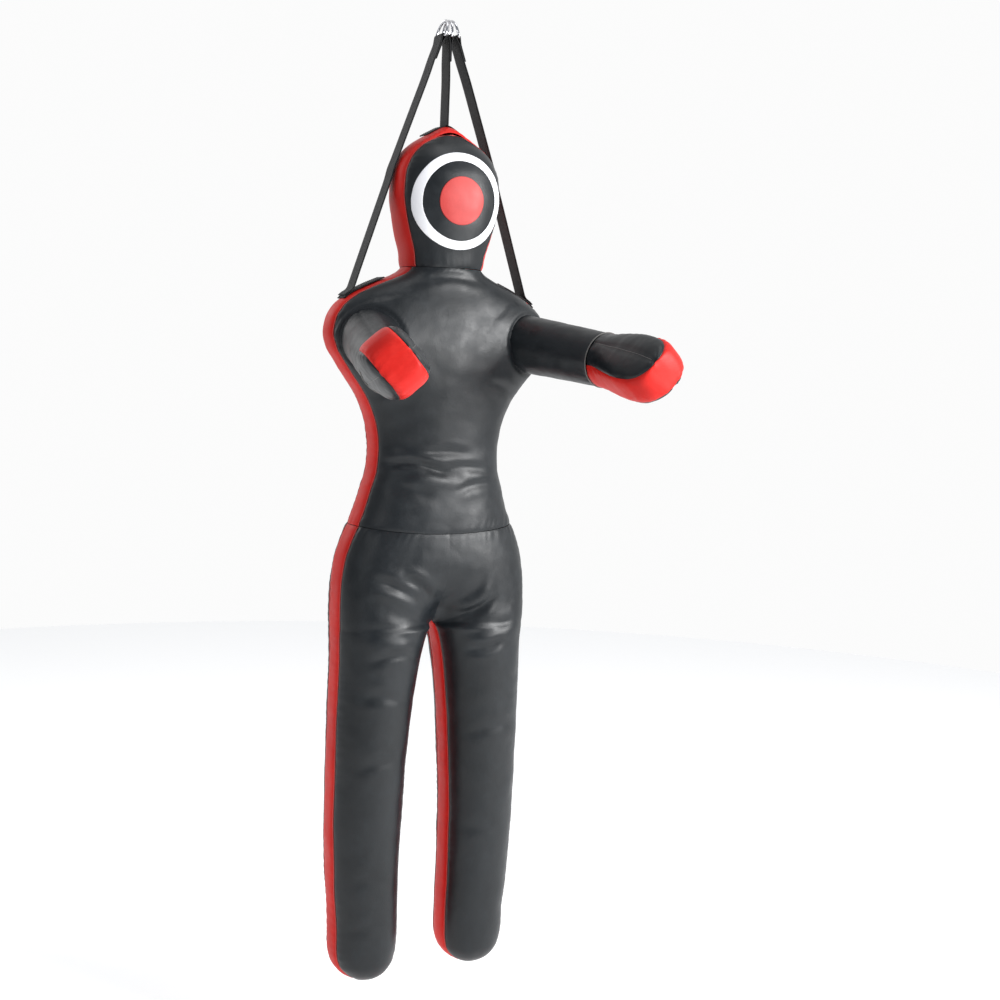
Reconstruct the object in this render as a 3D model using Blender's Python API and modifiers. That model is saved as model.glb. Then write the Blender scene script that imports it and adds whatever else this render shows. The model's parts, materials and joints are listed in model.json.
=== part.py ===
"""Hanging grappling dummy: a stuffed leather figure on three webbing straps.

Metres, +Z up, the origin is where the hook carries the three rings. The dummy
faces -Y, so its left side is +X. Leather panels are thin shells over closed
cores of filling, and the cores are cut apart at every joint.
"""
import math

import bpy
from mathutils import Matrix, Vector

SKIN = 0.0022          # leather with its backing
GAP = 0.0014           # clearance between neighbouring pieces
CORE = SKIN + GAP      # the filling starts this far under the surface
SEAM = 0.0005          # half the slit between two panels at a seam
SIDES = 24             # segments round a body section

# Height, half width, half depth and depth centre of each section of the body.
HEAD = [(-0.497, 0.084, 0.068, -0.008), (-0.470, 0.087, 0.071, -0.010),
        (-0.440, 0.095, 0.077, -0.011), (-0.400, 0.105, 0.083, -0.012),
        (-0.355, 0.1115, 0.087, -0.012), (-0.315, 0.109, 0.086, -0.010),
        (-0.285, 0.099, 0.080, -0.008), (-0.262, 0.083, 0.068, -0.006),
        (-0.244, 0.061, 0.053, -0.003), (-0.230, 0.037, 0.037, -0.001),
        (-0.2175, 0.010, 0.012, 0.0)]
TORSO = [(-1.007, 0.172, 0.095, 0.0), (-0.975, 0.160, 0.093, 0.0),
         (-0.938, 0.149, 0.090, 0.0), (-0.895, 0.137, 0.088, 0.0),
         (-0.856, 0.1345, 0.088, 0.0), (-0.820, 0.139, 0.091, 0.0),
         (-0.785, 0.150, 0.094, 0.0), (-0.755, 0.165, 0.097, 0.0),
         (-0.720, 0.190, 0.100, 0.0), (-0.690, 0.212, 0.101, 0.0),
         (-0.660, 0.232, 0.100, 0.0), (-0.632, 0.239, 0.098, 0.0),
         (-0.605, 0.235, 0.094, 0.0), (-0.580, 0.222, 0.088, -0.001),
         (-0.555, 0.194, 0.081, -0.003), (-0.535, 0.155, 0.075, -0.005),
         (-0.518, 0.115, 0.070, -0.007), (-0.505, 0.089, 0.068, -0.008),
         (-0.4985, 0.084, 0.068, -0.008)]
PELVIS = [(-1.208, 0.2015, 0.096, 0.0), (-1.150, 0.201, 0.097, 0.0),
          (-1.115, 0.200, 0.098, 0.0), (-1.075, 0.196, 0.098, 0.0),
          (-1.040, 0.186, 0.097, 0.0), (-1.0085, 0.1725, 0.095, 0.0)]
# Height, centre across, half width and half depth of each section of a leg.
LEG = [(-1.895, 0.1155, 0.030, 0.036), (-1.885, 0.1155, 0.047, 0.052),
       (-1.868, 0.1155, 0.060, 0.063), (-1.840, 0.116, 0.0665, 0.067),
       (-1.800, 0.1165, 0.068, 0.069), (-1.700, 0.1215, 0.071, 0.073),
       (-1.560, 0.1235, 0.0755, 0.078), (-1.400, 0.1185, 0.081, 0.085),
       (-1.300, 0.1125, 0.086, 0.091), (-1.250, 0.1085, 0.0905, 0.094),
       (-1.215, 0.1055, 0.0955, 0.096)]
GUSSET_HEAD = 0.076    # widths of the side bands
GUSSET_BODY = 0.056
GUSSET_LEG = 0.050
GUSSET_HAND = 0.066
POWER = 2.4            # squareness of the body sections
WAIST_SEAM = -1.007
NECK_SEAM = -0.4975
CROTCH = -1.205

# Joints: neck and waist turn about X, hips about X, arms about level axes.
NECK_Z, NECK_SWING = -0.490, 18
WAIST_Z, WAIST_SWING = -0.880, 20
HIP_Z, HIP_SWING = -1.165, 40
ARM_SWING = 20
ELBOW_SWING = 25

# Arms: outward and downward angles of the upper arm, then of the forearm.
ARM_ANGLES = {"left": (27, 8, 3, 6), "right": (12, 14, 20, -2)}
ARM_ROOT = (0.163, -0.045, -0.638)   # centre of the shoulder hinge
ARM_REACH = 0.210      # shoulder hinge to elbow hinge
ARM_R = 0.058
ELBOW_R = 0.054
HAND_LONG, HAND_THICK = 0.061, 0.047
HAND_ROLL = 42         # how far the hand band leans from upright
HAND_REACH = 0.200     # elbow hinge to fingertip

# Straps and rings.
WEB_W, WEB_T = 0.038, 0.0024
WIRE = 0.0028          # radius of the ring wire
RING_H = 0.031         # bar centre below the hook bearing
RING_HALF = 0.0225     # half the bar
BAR_X = 0.0155         # the side bars stand this far out
TOP_X = 0.0062         # the ring tops lie side by side
HEAD_SIDE = [(0.1040, -0.280), (0.1125, -0.303), (0.1195, -0.330)]   # the straps bear on the head here

LEATHER, RED = (0.018, 0.019, 0.021, 1), (0.55, 0.03, 0.022, 1)


def material(name, colour, metallic=0.0, rough=0.5):
    mat = bpy.data.materials.new(name)
    mat.use_nodes = True
    shader = mat.node_tree.nodes["Principled BSDF"]
    shader.inputs["Base Color"].default_value = colour
    shader.inputs["Metallic"].default_value = metallic
    shader.inputs["Roughness"].default_value = rough
    return mat


def collection(name, hidden=False):
    group = bpy.data.collections.new(name)
    bpy.context.scene.collection.children.link(group)
    group.hide_render = hidden
    return group


def add(name, verts, faces, group, colour=None, metallic=0.0, rough=0.5, smooth=True):
    mesh = bpy.data.meshes.new(name)
    mesh.from_pydata([tuple(v) for v in verts], [], faces)
    mesh.update()
    obj = bpy.data.objects.new(name, mesh)
    group.objects.link(obj)
    if colour:
        mesh.materials.append(material(name, colour, metallic, rough))
    else:
        obj.display_type = "WIRE"
        obj.hide_render = True
    if smooth:
        for face in mesh.polygons:
            face.use_smooth = True
    return obj


def cut(obj, cutter):
    mod = obj.modifiers.new("cut", "BOOLEAN")
    mod.operation = "DIFFERENCE"
    mod.solver = "EXACT"
    mod.object = cutter


def smooth_rows(table, steps):
    """More rows through a table, by a Catmull-Rom curve."""
    out = []
    last = len(table) - 1
    for i in range(last):
        p0, p1 = table[max(i - 1, 0)], table[i]
        p2, p3 = table[i + 1], table[min(i + 2, last)]
        for k in range(steps):
            t = k / steps
            row = [0.5 * (2 * b + (c - a) * t + (2 * a - 5 * b + 4 * c - d) * t * t
                          + (3 * b - a - 3 * c + d) * t ** 3)
                   for a, b, c, d in zip(p0, p1, p2, p3)]
            out.append(tuple(row))
    out.append(table[last])
    return out


def at(table, z):
    """The values of a table at a height, in straight lines."""
    for low, high in zip(table, table[1:]):
        if z <= high[0]:
            t = max(0.0, (z - low[0]) / (high[0] - low[0]))
            return tuple(p + (q - p) * t for p, q in zip(low, high))
    return table[-1]


def oval(a, b, angle, power=POWER):
    c, s = math.cos(angle), math.sin(angle)
    return (math.copysign(a * abs(c) ** (2 / power), c),
            math.copysign(b * abs(s) ** (2 / power), s))


def squareness(z):
    """The hips grow squarer towards the crotch, where the two legs start."""
    return POWER + 1.3 * min(1.0, max(0.0, (-1.03 - z) / 0.16)) ** 1.2


def body_frame(u, v, w):
    return Vector((u, v, w))


def loft(name, stations, frame, group, colour=None, power=None, **look):
    """A closed solid through ovals (w, half u, half v, centre u, centre v, roll)."""
    verts, faces = [], []
    for w, a, b, cu, cv, roll in stations:
        cr, sr = math.cos(roll), math.sin(roll)
        for k in range(SIDES):
            shape = squareness(w) if power is None else power
            u, v = oval(a, b, 2 * math.pi * (k + 0.5) / SIDES, shape)
            verts.append(frame(cu + u * cr - v * sr, cv + u * sr + v * cr, w))
    for i in range(len(stations) - 1):
        for k in range(SIDES):
            n = (k + 1) % SIDES
            faces.append((i * SIDES + k, i * SIDES + n,
                          (i + 1) * SIDES + n, (i + 1) * SIDES + k))
    faces.append(tuple(reversed(range(SIDES))))
    faces.append(tuple((len(stations) - 1) * SIDES + k for k in range(SIDES)))
    return add(name, verts, faces, group, colour, **look)


def plate(name, verts, faces, group, colour, thick=SKIN, **look):
    """A sheet of faces, thickened inwards."""
    obj = add(name, verts, faces, group, colour, **look)
    mod = obj.modifiers.new("thickness", "SOLIDIFY")
    mod.thickness = thick
    mod.offset = -1.0
    return obj


def shell(name, rows, group, colour, thick=SKIN, closed=False, **look):
    """A thickened sheet through rows of points."""
    verts = [p for row in rows for p in row]
    n = len(rows[0])
    faces = []
    for i in range(len(rows) - 1):
        for k in range(n if closed else n - 1):
            m = (k + 1) % n
            faces.append((i * n + k, i * n + m, (i + 1) * n + m, (i + 1) * n + k))
    return plate(name, verts, faces, group, colour, thick, **look)


def panel_rows(table, width, side, columns):
    """Rows of a front (-1) or back (+1) panel between the two side bands."""
    rows = []
    for z, a, b, c in table:
        edge = min(0.97, (width / 2 + SEAM) / b)
        power = squareness(z)
        start = math.asin(edge ** (power / 2))
        low, high = (math.pi + start, 2 * math.pi - start) if side < 0 else (start, math.pi - start)
        row = []
        for k in range(columns + 1):
            u, v = oval(a, b, low + (high - low) * k / columns, power)
            row.append(Vector((u, c + v, z)))
        rows.append(row)
    return rows


def band_rows(table, width, side, columns=4):
    """Rows of a side band, side -1 for -X."""
    rows = []
    for z, a, b, c in table:
        row = []
        for k in range(columns + 1):
            v = (width / 2 - SEAM) * (2 * k / columns - 1)
            power = squareness(z)
            u = a * (1 - min(1.0, abs(v) / b) ** power) ** (1 / power)
            row.append(Vector((side * u, c + v, z)))
        rows.append(row if side > 0 else row[::-1])
    return rows


def core_stations(table, inset=CORE):
    """The ovals of a filling, the same distance under the surface where it slopes."""
    out, last = [], len(table) - 1
    for i, (z, a, b, c) in enumerate(table):
        low, high = table[max(i - 1, 0)], table[min(i + 1, last)]
        run = high[0] - low[0]
        steep = [math.hypot(1, (high[k] - low[k]) / run) for k in (1, 2)]
        out.append((z, max(0.004, a - inset * steep[0]), max(0.004, b - inset * steep[1]), 0.0, c, 0.0))
    return out


def round_end(stations, frame_w, radius, sign, steps=5, ball=False):
    """Adds an end rounded about a hinge axis along u, or a ball, to a stack of ovals."""
    w0, a, b, cu, cv, roll = frame_w
    extra = []
    for k in range(1, steps + 1):
        t = math.radians(84) * k / steps
        across = a * math.cos(t) if ball else a
        extra.append((w0 + sign * radius * math.sin(t), across, radius * math.cos(t), cu, cv, roll))
    return stations + extra if sign > 0 else extra[::-1] + stations


def clip(table, low, high):
    """The rows of a table between two heights, with rows at the heights themselves."""
    inner = [row for row in table if low + 0.002 < row[0] < high - 0.002]
    ends = [tuple([z] + list(at(table, z))[1:]) for z in (low, high)]
    return [ends[0]] + inner + [ends[1]]


def box(name, low, high, group, turn=None, about=None):
    corners = [Vector((x, y, z)) for z in (low[2], high[2])
               for y in (low[1], high[1]) for x in (low[0], high[0])]
    if turn is not None:
        corners = [about + turn @ (c - about) for c in corners]
    faces = [(0, 2, 3, 1), (4, 5, 7, 6), (0, 1, 5, 4), (1, 3, 7, 5), (3, 2, 6, 7), (2, 0, 4, 6)]
    return add(name, corners, faces, group, smooth=False)


def drum(name, centre, axis, radius, half, group, sides=32):
    """A solid cylinder about an axis."""
    axis = Vector(axis).normalized()
    side = axis.orthogonal().normalized()
    other = axis.cross(side)
    verts = []
    for end in (-half, half):
        for k in range(sides):
            t = 2 * math.pi * k / sides
            verts.append(Vector(centre) + axis * end
                         + (side * math.cos(t) + other * math.sin(t)) * radius)
    faces = [tuple(reversed(range(sides))), tuple(range(sides, 2 * sides))]
    faces += [(k, (k + 1) % sides, sides + (k + 1) % sides, sides + k) for k in range(sides)]
    return add(name, verts, faces, group)


def swing_room(name, centre, u, v, w, radius, low, high, swing, tools, length=0.30):
    """A prism that holds a round-ended limb at every angle of its hinge about u."""
    s, c = math.sin(math.radians(swing)), math.cos(math.radians(swing))
    ring = [(radius * c + length * s, -radius * s + length * c)]
    for k in range(25):
        t = math.radians(swing) + math.radians(180 - 2 * swing) * k / 24
        ring.append((radius * math.cos(t), -radius * math.sin(t)))
    ring.append((-radius * c - length * s, -radius * s + length * c))
    n = len(ring)
    verts = [Vector(centre) + u * x + v * p + w * q for x in (low, high) for p, q in ring]
    faces = [tuple(range(n)), tuple(reversed(range(n, 2 * n)))]
    faces += [(k, k + n, (k + 1) % n + n, (k + 1) % n) for k in range(n)]
    room = add(name, verts, faces, tools, smooth=False)
    if (u.cross(v)).dot(w) < 0:
        room.data.flip_normals()
    return room


# ---------------------------------------------------------------- head and torso

def build_head(group, tools):
    table = smooth_rows(HEAD, 1)
    neck = at(HEAD, NECK_Z)
    radius = neck[2] - CORE
    stations = core_stations([row for row in table if row[0] > NECK_Z + 0.003], CORE + 0.0018)
    first = (NECK_Z, neck[1] - CORE - 0.001, radius, 0.0, neck[3], 0.0)
    stations = round_end([first] + stations, first, radius, -1)
    stations = [st for st in stations if st[0] < HEAD[-1][0] - 0.014]
    stations.append((HEAD[-1][0] - 0.014, 0.014, 0.016, 0.0, 0.0, 0.0))
    loft("head_filling", stations, body_frame, group, (0.75, 0.74, 0.70, 1))

    rows = [row for row in table if row[2] > GUSSET_HEAD / 2 + 0.0045]
    shell("head_front_panel", panel_rows(rows, GUSSET_HEAD, -1, 12), group, LEATHER)
    shell("head_back_panel", panel_rows(rows, GUSSET_HEAD, 1, 10), group, LEATHER)

    # The side band runs from one side of the neck over the crown to the other.
    rows, columns, steps = [], 4, 14
    for k in range(2 * steps + 1):
        row = []
        f = 1 - abs(k - steps) / steps
        for j in range(columns + 1):
            v = (GUSSET_HEAD / 2 - SEAM) * (2 * j / columns - 1)
            top = crown_height(table, abs(v))
            z = HEAD[0][0] + (top - HEAD[0][0]) * math.sin(f * math.pi / 2)
            _, a, b, c = at(table, z)
            u = a * max(0.0, 1 - min(1.0, abs(v) / b) ** POWER) ** (1 / POWER)
            u = 0.0 if k == steps else (u if k < steps else -u)
            row.append(Vector((u, c + v, z)))
        rows.append(row)
    shell("head_gusset", rows, group, RED)


def crown_height(table, v):
    """The height at which the head's half depth has shrunk to v."""
    for low, high in zip(table[::-1][1:], table[::-1]):
        if low[2] >= v >= high[2]:
            t = (v - high[2]) / (low[2] - high[2])
            return high[0] + (low[0] - high[0]) * t
    return table[-1][0]


def face_point(x, z, out):
    _, a, b, c = at(smooth_rows(HEAD, 2), z)
    depth = b * max(0.0, 1 - min(0.999, abs(x) / a) ** POWER) ** (1 / POWER)
    return Vector((x, c - depth - out, z))


def build_target(group):
    """The ring and the disc on the face, each a fan of quads round the target's middle."""
    centre, turns = -0.366, 48
    for name, inner, outer, colour in (
            ("face_target_ring", 0.082, 0.0985, (0.82, 0.82, 0.82, 1)),
            ("face_target_disc", 0.003, 0.0500, RED)):
        verts, faces = [], []
        for k in range(turns):
            t = 2 * math.pi * k / turns
            verts += [face_point(r * math.sin(t), centre + r * math.cos(t), 0.0016)
                      for r in (inner, (inner + outer) / 2, outer)]
            here, onward = k * 3, (k + 1) % turns * 3
            for j in range(2):
                faces.append((here + j, here + j + 1, onward + j + 1, onward + j))
        if name.endswith("disc"):
            faces.append(tuple(k * 3 for k in range(turns)))
        plate(name, verts, faces, group, colour, thick=0.0006)


def build_torso(group, tools):
    table = smooth_rows(TORSO, 1)
    waist = at(TORSO, WAIST_Z)
    drop = waist[2] * math.sin(math.radians(WAIST_SWING)) + 0.003
    stations = core_stations(clip(table, WAIST_Z + drop, NECK_SEAM - 0.001))
    core = loft("torso_filling", stations, body_frame, group, (0.75, 0.74, 0.70, 1))
    cut(core, drum("waist_socket", (0, 0, WAIST_Z), (1, 0, 0), waist[2], 0.30, tools, 40))
    neck = at(HEAD, NECK_Z)
    centre = (0, neck[3], NECK_Z)
    cut(core, drum("neck_socket", centre, (1, 0, 0), neck[2] + 0.001, neck[1] + 0.002, tools, 40))
    low = NECK_Z - neck[2] * math.sin(math.radians(NECK_SWING)) - 0.004
    cut(core, box("neck_room", (-neck[1] - 0.003, -0.13, low), (neck[1] + 0.003, 0.13, -0.45), tools))

    front = shell("torso_front_panel", panel_rows(table, GUSSET_BODY, -1, 14), group, LEATHER)
    back = panel_rows(table, GUSSET_BODY, 1, 12)
    half = len(back[0]) // 2
    # The back opens down the middle where the zip sits, and closes above and below it.
    for name, rows in (("torso_back_panel_left", [r[:half + 1] for r in back]),
                       ("torso_back_panel_right", [r[half:] for r in back])):
        side = 1 if name.endswith("left") else -1
        rows = [[Vector((side * max(abs(p.x), zip_gap(p.z)), p.y, p.z)) for p in row] for row in rows]
        shell(name, rows, group, LEATHER)
    for side, name in ((1, "left"), (-1, "right")):
        shell("torso_gusset_" + name, band_rows(table, GUSSET_BODY, side), group, RED)
    return core, front


ZIP_HALF = 0.0185      # the two back panels stop this far from the middle beside the zip
ZIP_TOP, ZIP_LOW = -0.606, -0.894


def zip_gap(z):
    """How far from the middle the back panels stop."""
    return ZIP_HALF if ZIP_LOW - 0.0011 < z < ZIP_TOP + 0.0011 else 0.0007


def build_zip(group):
    """Zip tapes, teeth, slider and pull down the middle of the back."""
    zs = [ZIP_TOP + (ZIP_LOW - ZIP_TOP) * k / 16 for k in range(17)][::-1]
    for side, name in ((1, "left"), (-1, "right")):
        rows = []
        for z in zs:
            xs = (0.0026, ZIP_HALF - 0.0008) if side > 0 else (-ZIP_HALF + 0.0008, -0.0026)
            rows.append([back_point(x, z, -0.0003) for x in xs[::-1]])
        shell("zipper_tape_" + name, rows, group, (0.012, 0.012, 0.013, 1), thick=0.0012)
    rows = [[back_point(x, z, 0.0004) for x in (0.0020, -0.0020)] for z in zs]
    shell("zipper_teeth", rows, group, (0.03, 0.03, 0.032, 1), thick=0.0018)
    z = ZIP_TOP - 0.042
    body = back_point(0, z, 0.0016)
    slider = box("zipper_slider", (-0.0050, body.y, z - 0.008), (0.0050, body.y + 0.0028, z + 0.008), group)
    finish_metal(slider, "zipper_slider")
    lug = box("slider_lug", (-0.0020, body.y + 0.0020, z + 0.0060),
              (0.0020, body.y + 0.0056, z + 0.0090), bpy.data.collections["cutters"])
    mod = slider.modifiers.new("lug", "BOOLEAN")
    mod.operation = "UNION"
    mod.solver = "EXACT"
    mod.object = lug
    # The pull hangs from the slider's lug by a slot.
    pin = Vector((0, body.y + 0.0045, z + 0.0075))
    pull = box("zipper_pull", (-0.0045, pin.y - 0.0008, pin.z - 0.034),
               (0.0045, pin.y + 0.0008, pin.z + 0.0045), group)
    finish_metal(pull, "zipper_pull")
    slot = box("pull_slot", (-0.0026, pin.y - 0.004, pin.z - 0.0040), (0.0026, pin.y + 0.004, pin.z + 0.0029),
               bpy.data.collections["cutters"])
    cut(pull, slot)
    return pin


def finish_metal(obj, name):
    obj.data.materials.append(material(name, (0.5, 0.5, 0.5, 1), 1.0, 0.3))
    obj.display_type = "TEXTURED"
    obj.hide_render = False


def back_point(x, z, out):
    _, a, b, c = at(TORSO, z)
    depth = b * max(0.0, 1 - (abs(x) / a) ** POWER) ** (1 / POWER)
    return Vector((x, c + depth + out, z))


# ---------------------------------------------------------------- pelvis and legs

def build_pelvis(group, tools):
    body = smooth_rows(PELVIS, 1)
    waist = at(TORSO, WAIST_Z)
    radius = waist[2] - CORE
    lower = [row for row in TORSO if WAIST_SEAM + 0.004 < row[0] < WAIST_Z - 0.003]
    stations = core_stations(clip(body, CROTCH + 0.002, -1.0085) + lower, CORE + 0.0016)
    last = (WAIST_Z, waist[1] - CORE - 0.004, radius, 0.0, 0.0, 0.0)
    stations = round_end(stations + [last], last, radius, 1, 6)
    core = loft("pelvis_filling", stations, body_frame, group, (0.75, 0.74, 0.70, 1))

    rows = clip(body, CROTCH, -1.0085)
    shell("pelvis_front_panel", panel_rows(rows, GUSSET_BODY, -1, 14), group, LEATHER)
    shell("pelvis_back_panel", panel_rows(rows, GUSSET_BODY, 1, 14), group, LEATHER)
    for side, name in ((1, "left"), (-1, "right")):
        shell("pelvis_gusset_" + name, band_rows(rows, GUSSET_BODY, side), group, RED)
    return core


def build_leg(name, side, group, tools, pelvis):
    rows = smooth_rows(LEG, 1)
    hip = at(LEG, -1.215)
    radius = hip[3] - CORE - 0.005
    half = hip[2] - CORE - 0.004
    x = side * (hip[1] - 0.002)

    sizes = core_stations([(z, a, b, side * c) for z, c, a, b in rows])
    stations = [(z, a, b, c, 0.0, 0.0) for z, a, b, _, c, _ in sizes if -1.89 < z < -1.22]
    stations.append((-1.215, half, radius, x, 0.0, 0.0))
    first = (HIP_Z, half - 0.001, radius, x, 0.0, 0.0)
    stations = round_end(stations + [first], first, radius, 1)
    loft(f"{name}_leg_filling", stations, body_frame, group, (0.75, 0.74, 0.70, 1), power=2.2)
    axis_at = (x, 0, HIP_Z)
    down, ahead, across = Vector((0, 0, -1)), Vector((0, 1, 0)), Vector((side, 0, 0))
    cut(pelvis, swing_room(f"{name}_hip_room", axis_at, across, ahead, down, radius + 0.0015,
                           -half - 0.001, 0.15, HIP_SWING, tools))

    # The skin: front and back panels, with a band down the outside, under the sole and up the inside.
    def arc(row, low, high, count):
        z, c, a, b = row
        out = []
        for k in range(count + 1):
            u, v = oval(a, b, low + (high - low) * k / count, 2.2)
            out.append(Vector((side * c + u, v, z)))
        return out

    table = [row for row in rows if row[3] > GUSSET_LEG / 2 + 0.008]
    table = [row for row in table if row[0] < CROTCH - 0.012] + [at(LEG, CROTCH - 0.006)]
    for part, sign in (("front", -1), ("back", 1)):
        grid = []
        for row in table:
            start = math.asin(((GUSSET_LEG / 2 + SEAM) / row[3]) ** 1.1)
            low = math.pi + start if sign < 0 else start
            grid.append(arc(row, low, low + math.pi - 2 * start, 12))
        shell(f"{name}_leg_{part}_panel", grid, group, LEATHER)

    steps, columns = 16, 4
    heights = [row[0] for row in table][::-1]
    path = [(1, z) for z in heights]
    table_low = smooth_rows(LEG, 2)
    sole = [row[0] for row in table_low if row[0] < heights[-1]][::-1]
    path += [(1, z) for z in sole] + [(-1, z) for z in sole[::-1]] + [(-1, z) for z in heights[::-1]]
    grid = []
    for s, z in path:
        _, c, a, b = at(table_low, z)
        line = []
        for j in range(columns + 1):
            v = (GUSSET_LEG / 2 - SEAM) * (2 * j / columns - 1)
            u = a * max(0.02, 1 - min(1.0, abs(v) / b) ** 2.2) ** (1 / 2.2)
            line.append(Vector((side * c + s * u, v, z)))
        grid.append(line[::-1])
    shell(f"{name}_leg_gusset", grid[::-1], group, RED)
    return Vector((x, 0, HIP_Z))


# ---------------------------------------------------------------- arms

def arm_frame(origin, outward, down, side):
    """A frame with w along the arm, u level across it and v up."""
    o, d = math.radians(outward), math.radians(down)
    w = Vector((side * math.sin(o) * math.cos(d), -math.cos(o) * math.cos(d), -math.sin(d)))
    v = (Vector((0, 0, 1)) - w * w.z).normalized()
    u = v.cross(w).normalized()
    return u, v, w, (lambda a, b, c: origin + u * a + v * b + w * c)


def build_arm(name, side, group, tools, torso, front):
    out1, down1, out2, down2 = ARM_ANGLES[name]
    root = Vector((side * ARM_ROOT[0], ARM_ROOT[1], ARM_ROOT[2]))
    u, v, w, frame = arm_frame(root, out1, down1, side)
    elbow = root + w * ARM_REACH
    u2, v2, w2, frame2 = arm_frame(elbow, out2, down2, side)
    r1, r2 = ARM_R - CORE, ELBOW_R - CORE
    back = r2 * math.sin(math.radians(ELBOW_SWING)) + 0.012

    # Filling of the upper arm, rounded at the shoulder and hollowed at the elbow.
    first = (0.0, r1 - 0.001, r1, 0.0, 0.0, 0.0)
    stations = round_end([first, (0.05, r1 - 0.001, r1, 0, 0, 0),
                          (ARM_REACH - back, r2 - 0.001, r2, 0, 0, 0)], first, r1, -1, ball=True)
    upper = loft(f"{name}_upper_arm_filling", stations, frame, group, (0.75, 0.74, 0.70, 1), power=2.0)
    cut(upper, drum(f"{name}_elbow_socket", elbow, u2, r2 + 0.0012, 0.2, tools, 40))
    cut(torso, swing_room(f"{name}_shoulder_room", root, u, v, w, ARM_R + 0.001,
                          -ARM_R - 0.001, ARM_R + 0.001, ARM_SWING, tools))
    cut(front, drum(f"{name}_arm_hole", root + w * 0.10, w, ARM_R + 0.0004, 0.10, tools, 40))

    # Sleeve from the shoulder seam to the elbow seam.
    rows = []
    for k in range(9):
        s = 0.028 + (ARM_REACH - 0.0005 - 0.028) * k / 8
        r = ARM_R + (ELBOW_R - ARM_R) * k / 8
        rows.append([frame(r * math.cos(2 * math.pi * j / SIDES), r * math.sin(2 * math.pi * j / SIDES), s)
                     for j in range(SIDES)])
    sleeve = shell(f"{name}_upper_arm_sleeve", rows, group, LEATHER, closed=True)
    cut(sleeve, hand_half(f"{name}_elbow_plane", elbow, (w + w2).normalized(), tools, -1))

    # Forearm and hand: round at the elbow, then flattened and rolled.
    roll = math.radians(HAND_ROLL)
    hand = []
    for s, long, thick in ((0.0, ELBOW_R, ELBOW_R), (0.03, ELBOW_R, ELBOW_R - 0.0005),
                           (0.08, 0.057, 0.053), (0.13, HAND_LONG, 0.050),
                           (0.155, HAND_LONG - 0.0015, 0.0485), (0.175, 0.0545, HAND_THICK),
                           (0.188, 0.045, 0.0455), (0.1955, 0.034, 0.044),
                           (HAND_REACH, 0.016, 0.0425)):
        hand.append((s, thick, long, 0.0, 0.0, -side * roll))
    inner = [(s if s < 0.19 else s - CORE, a - CORE, b - CORE, cu, cv, r) for s, a, b, cu, cv, r in hand]
    first = (0.0, r2 - 0.001, r2, 0.0, 0.0, 0.0)
    stations = round_end([first] + inner[1:], first, r2, -1, ball=True)
    loft(f"{name}_forearm_filling", stations, frame2, group, (0.75, 0.74, 0.70, 1), power=2.15)

    def ring_part(station, low, high, count):
        s, a, b, _, _, r = station
        cr, sr = math.cos(r), math.sin(r)
        out = []
        for k in range(count + 1):
            p, q = oval(a, b, low + (high - low) * k / count, 2.15)
            out.append(frame2(p * cr - q * sr, p * sr + q * cr, s))
        return out

    # Two black side panels, and a red band between them round the fingertips.
    skin = [(0.001,) + hand[0][1:]] + hand[1:]
    edge = GUSSET_HAND / 2
    for part, turn in (("inner", math.pi if side > 0 else 0.0), ("outer", 0.0 if side > 0 else math.pi)):
        grid = []
        for st in skin:
            if st[2] < 0.03:
                continue
            spread = panel_spread(st, edge + SEAM)
            grid.append(ring_part(st, turn - spread, turn + spread, 10))
        obj = shell(f"{name}_forearm_panel_{part}", grid, group, LEATHER)
        cut(obj, hand_half(f"{name}_forearm_plane_{part}", elbow, (w + w2).normalized(), tools, 1))
    grid = []
    for sign, order in ((1, skin), (-1, skin[::-1])):
        for st in order:
            spread = panel_spread(st, edge - SEAM) if st[2] >= 0.0 else 0.0
            middle = math.pi / 2 * sign
            gap = math.pi / 2 - spread
            grid.append(ring_part(st, middle - sign * gap, middle + sign * gap, 4))
    band = shell(f"{name}_hand_gusset", grid[::-1], group, RED)
    cut(band, hand_half(f"{name}_band_plane", elbow, (w + w2).normalized(), tools, 1))
    return root, u, elbow, u2


def panel_spread(station, edge):
    """Half the angle a side panel covers, where the band starts at this distance from its middle."""
    _, thick, long, _, _, _ = station
    ratio = min(0.92, edge / thick / 1.0)
    # The band's edge is at this distance along the thickness, so the panel ends there.
    return math.acos(ratio ** (2.15 / 2))


def hand_half(name, point, normal, tools, side):
    """A big block on one side of a plane, to trim a skin at a seam."""
    normal = Vector(normal)
    centre = Vector(point) - normal * side * (0.25 - SEAM)
    return drum(name, centre, normal, 0.30, 0.25, tools, 16)


# ---------------------------------------------------------------- straps and rings

def ribbon(name, points, across, group, thick=WEB_T, width=WEB_W, colour=(0.016, 0.016, 0.018, 1)):
    """A flat strap that follows points, its width along the directions given."""
    verts, faces = [], []
    for i, p in enumerate(points):
        ahead = (points[min(i + 1, len(points) - 1)] - points[max(i - 1, 0)]).normalized()
        side = across[i] if isinstance(across, list) else across
        side = (side - ahead * side.dot(ahead)).normalized()
        up = ahead.cross(side)
        for a, b in ((-1, -1), (1, -1), (1, 1), (-1, 1)):
            verts.append(p + side * (a * width / 2) + up * (b * thick / 2))
    for i in range(len(points) - 1):
        for k in range(4):
            m = (k + 1) % 4
            faces.append((4 * i + k, 4 * i + m, 4 * i + 4 + m, 4 * i + 4 + k))
    n = 4 * (len(points) - 1)
    faces += [(3, 2, 1, 0), (n, n + 1, n + 2, n + 3)]
    obj = add(name, verts, faces, group, colour, rough=0.8, smooth=False)
    return obj


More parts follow.
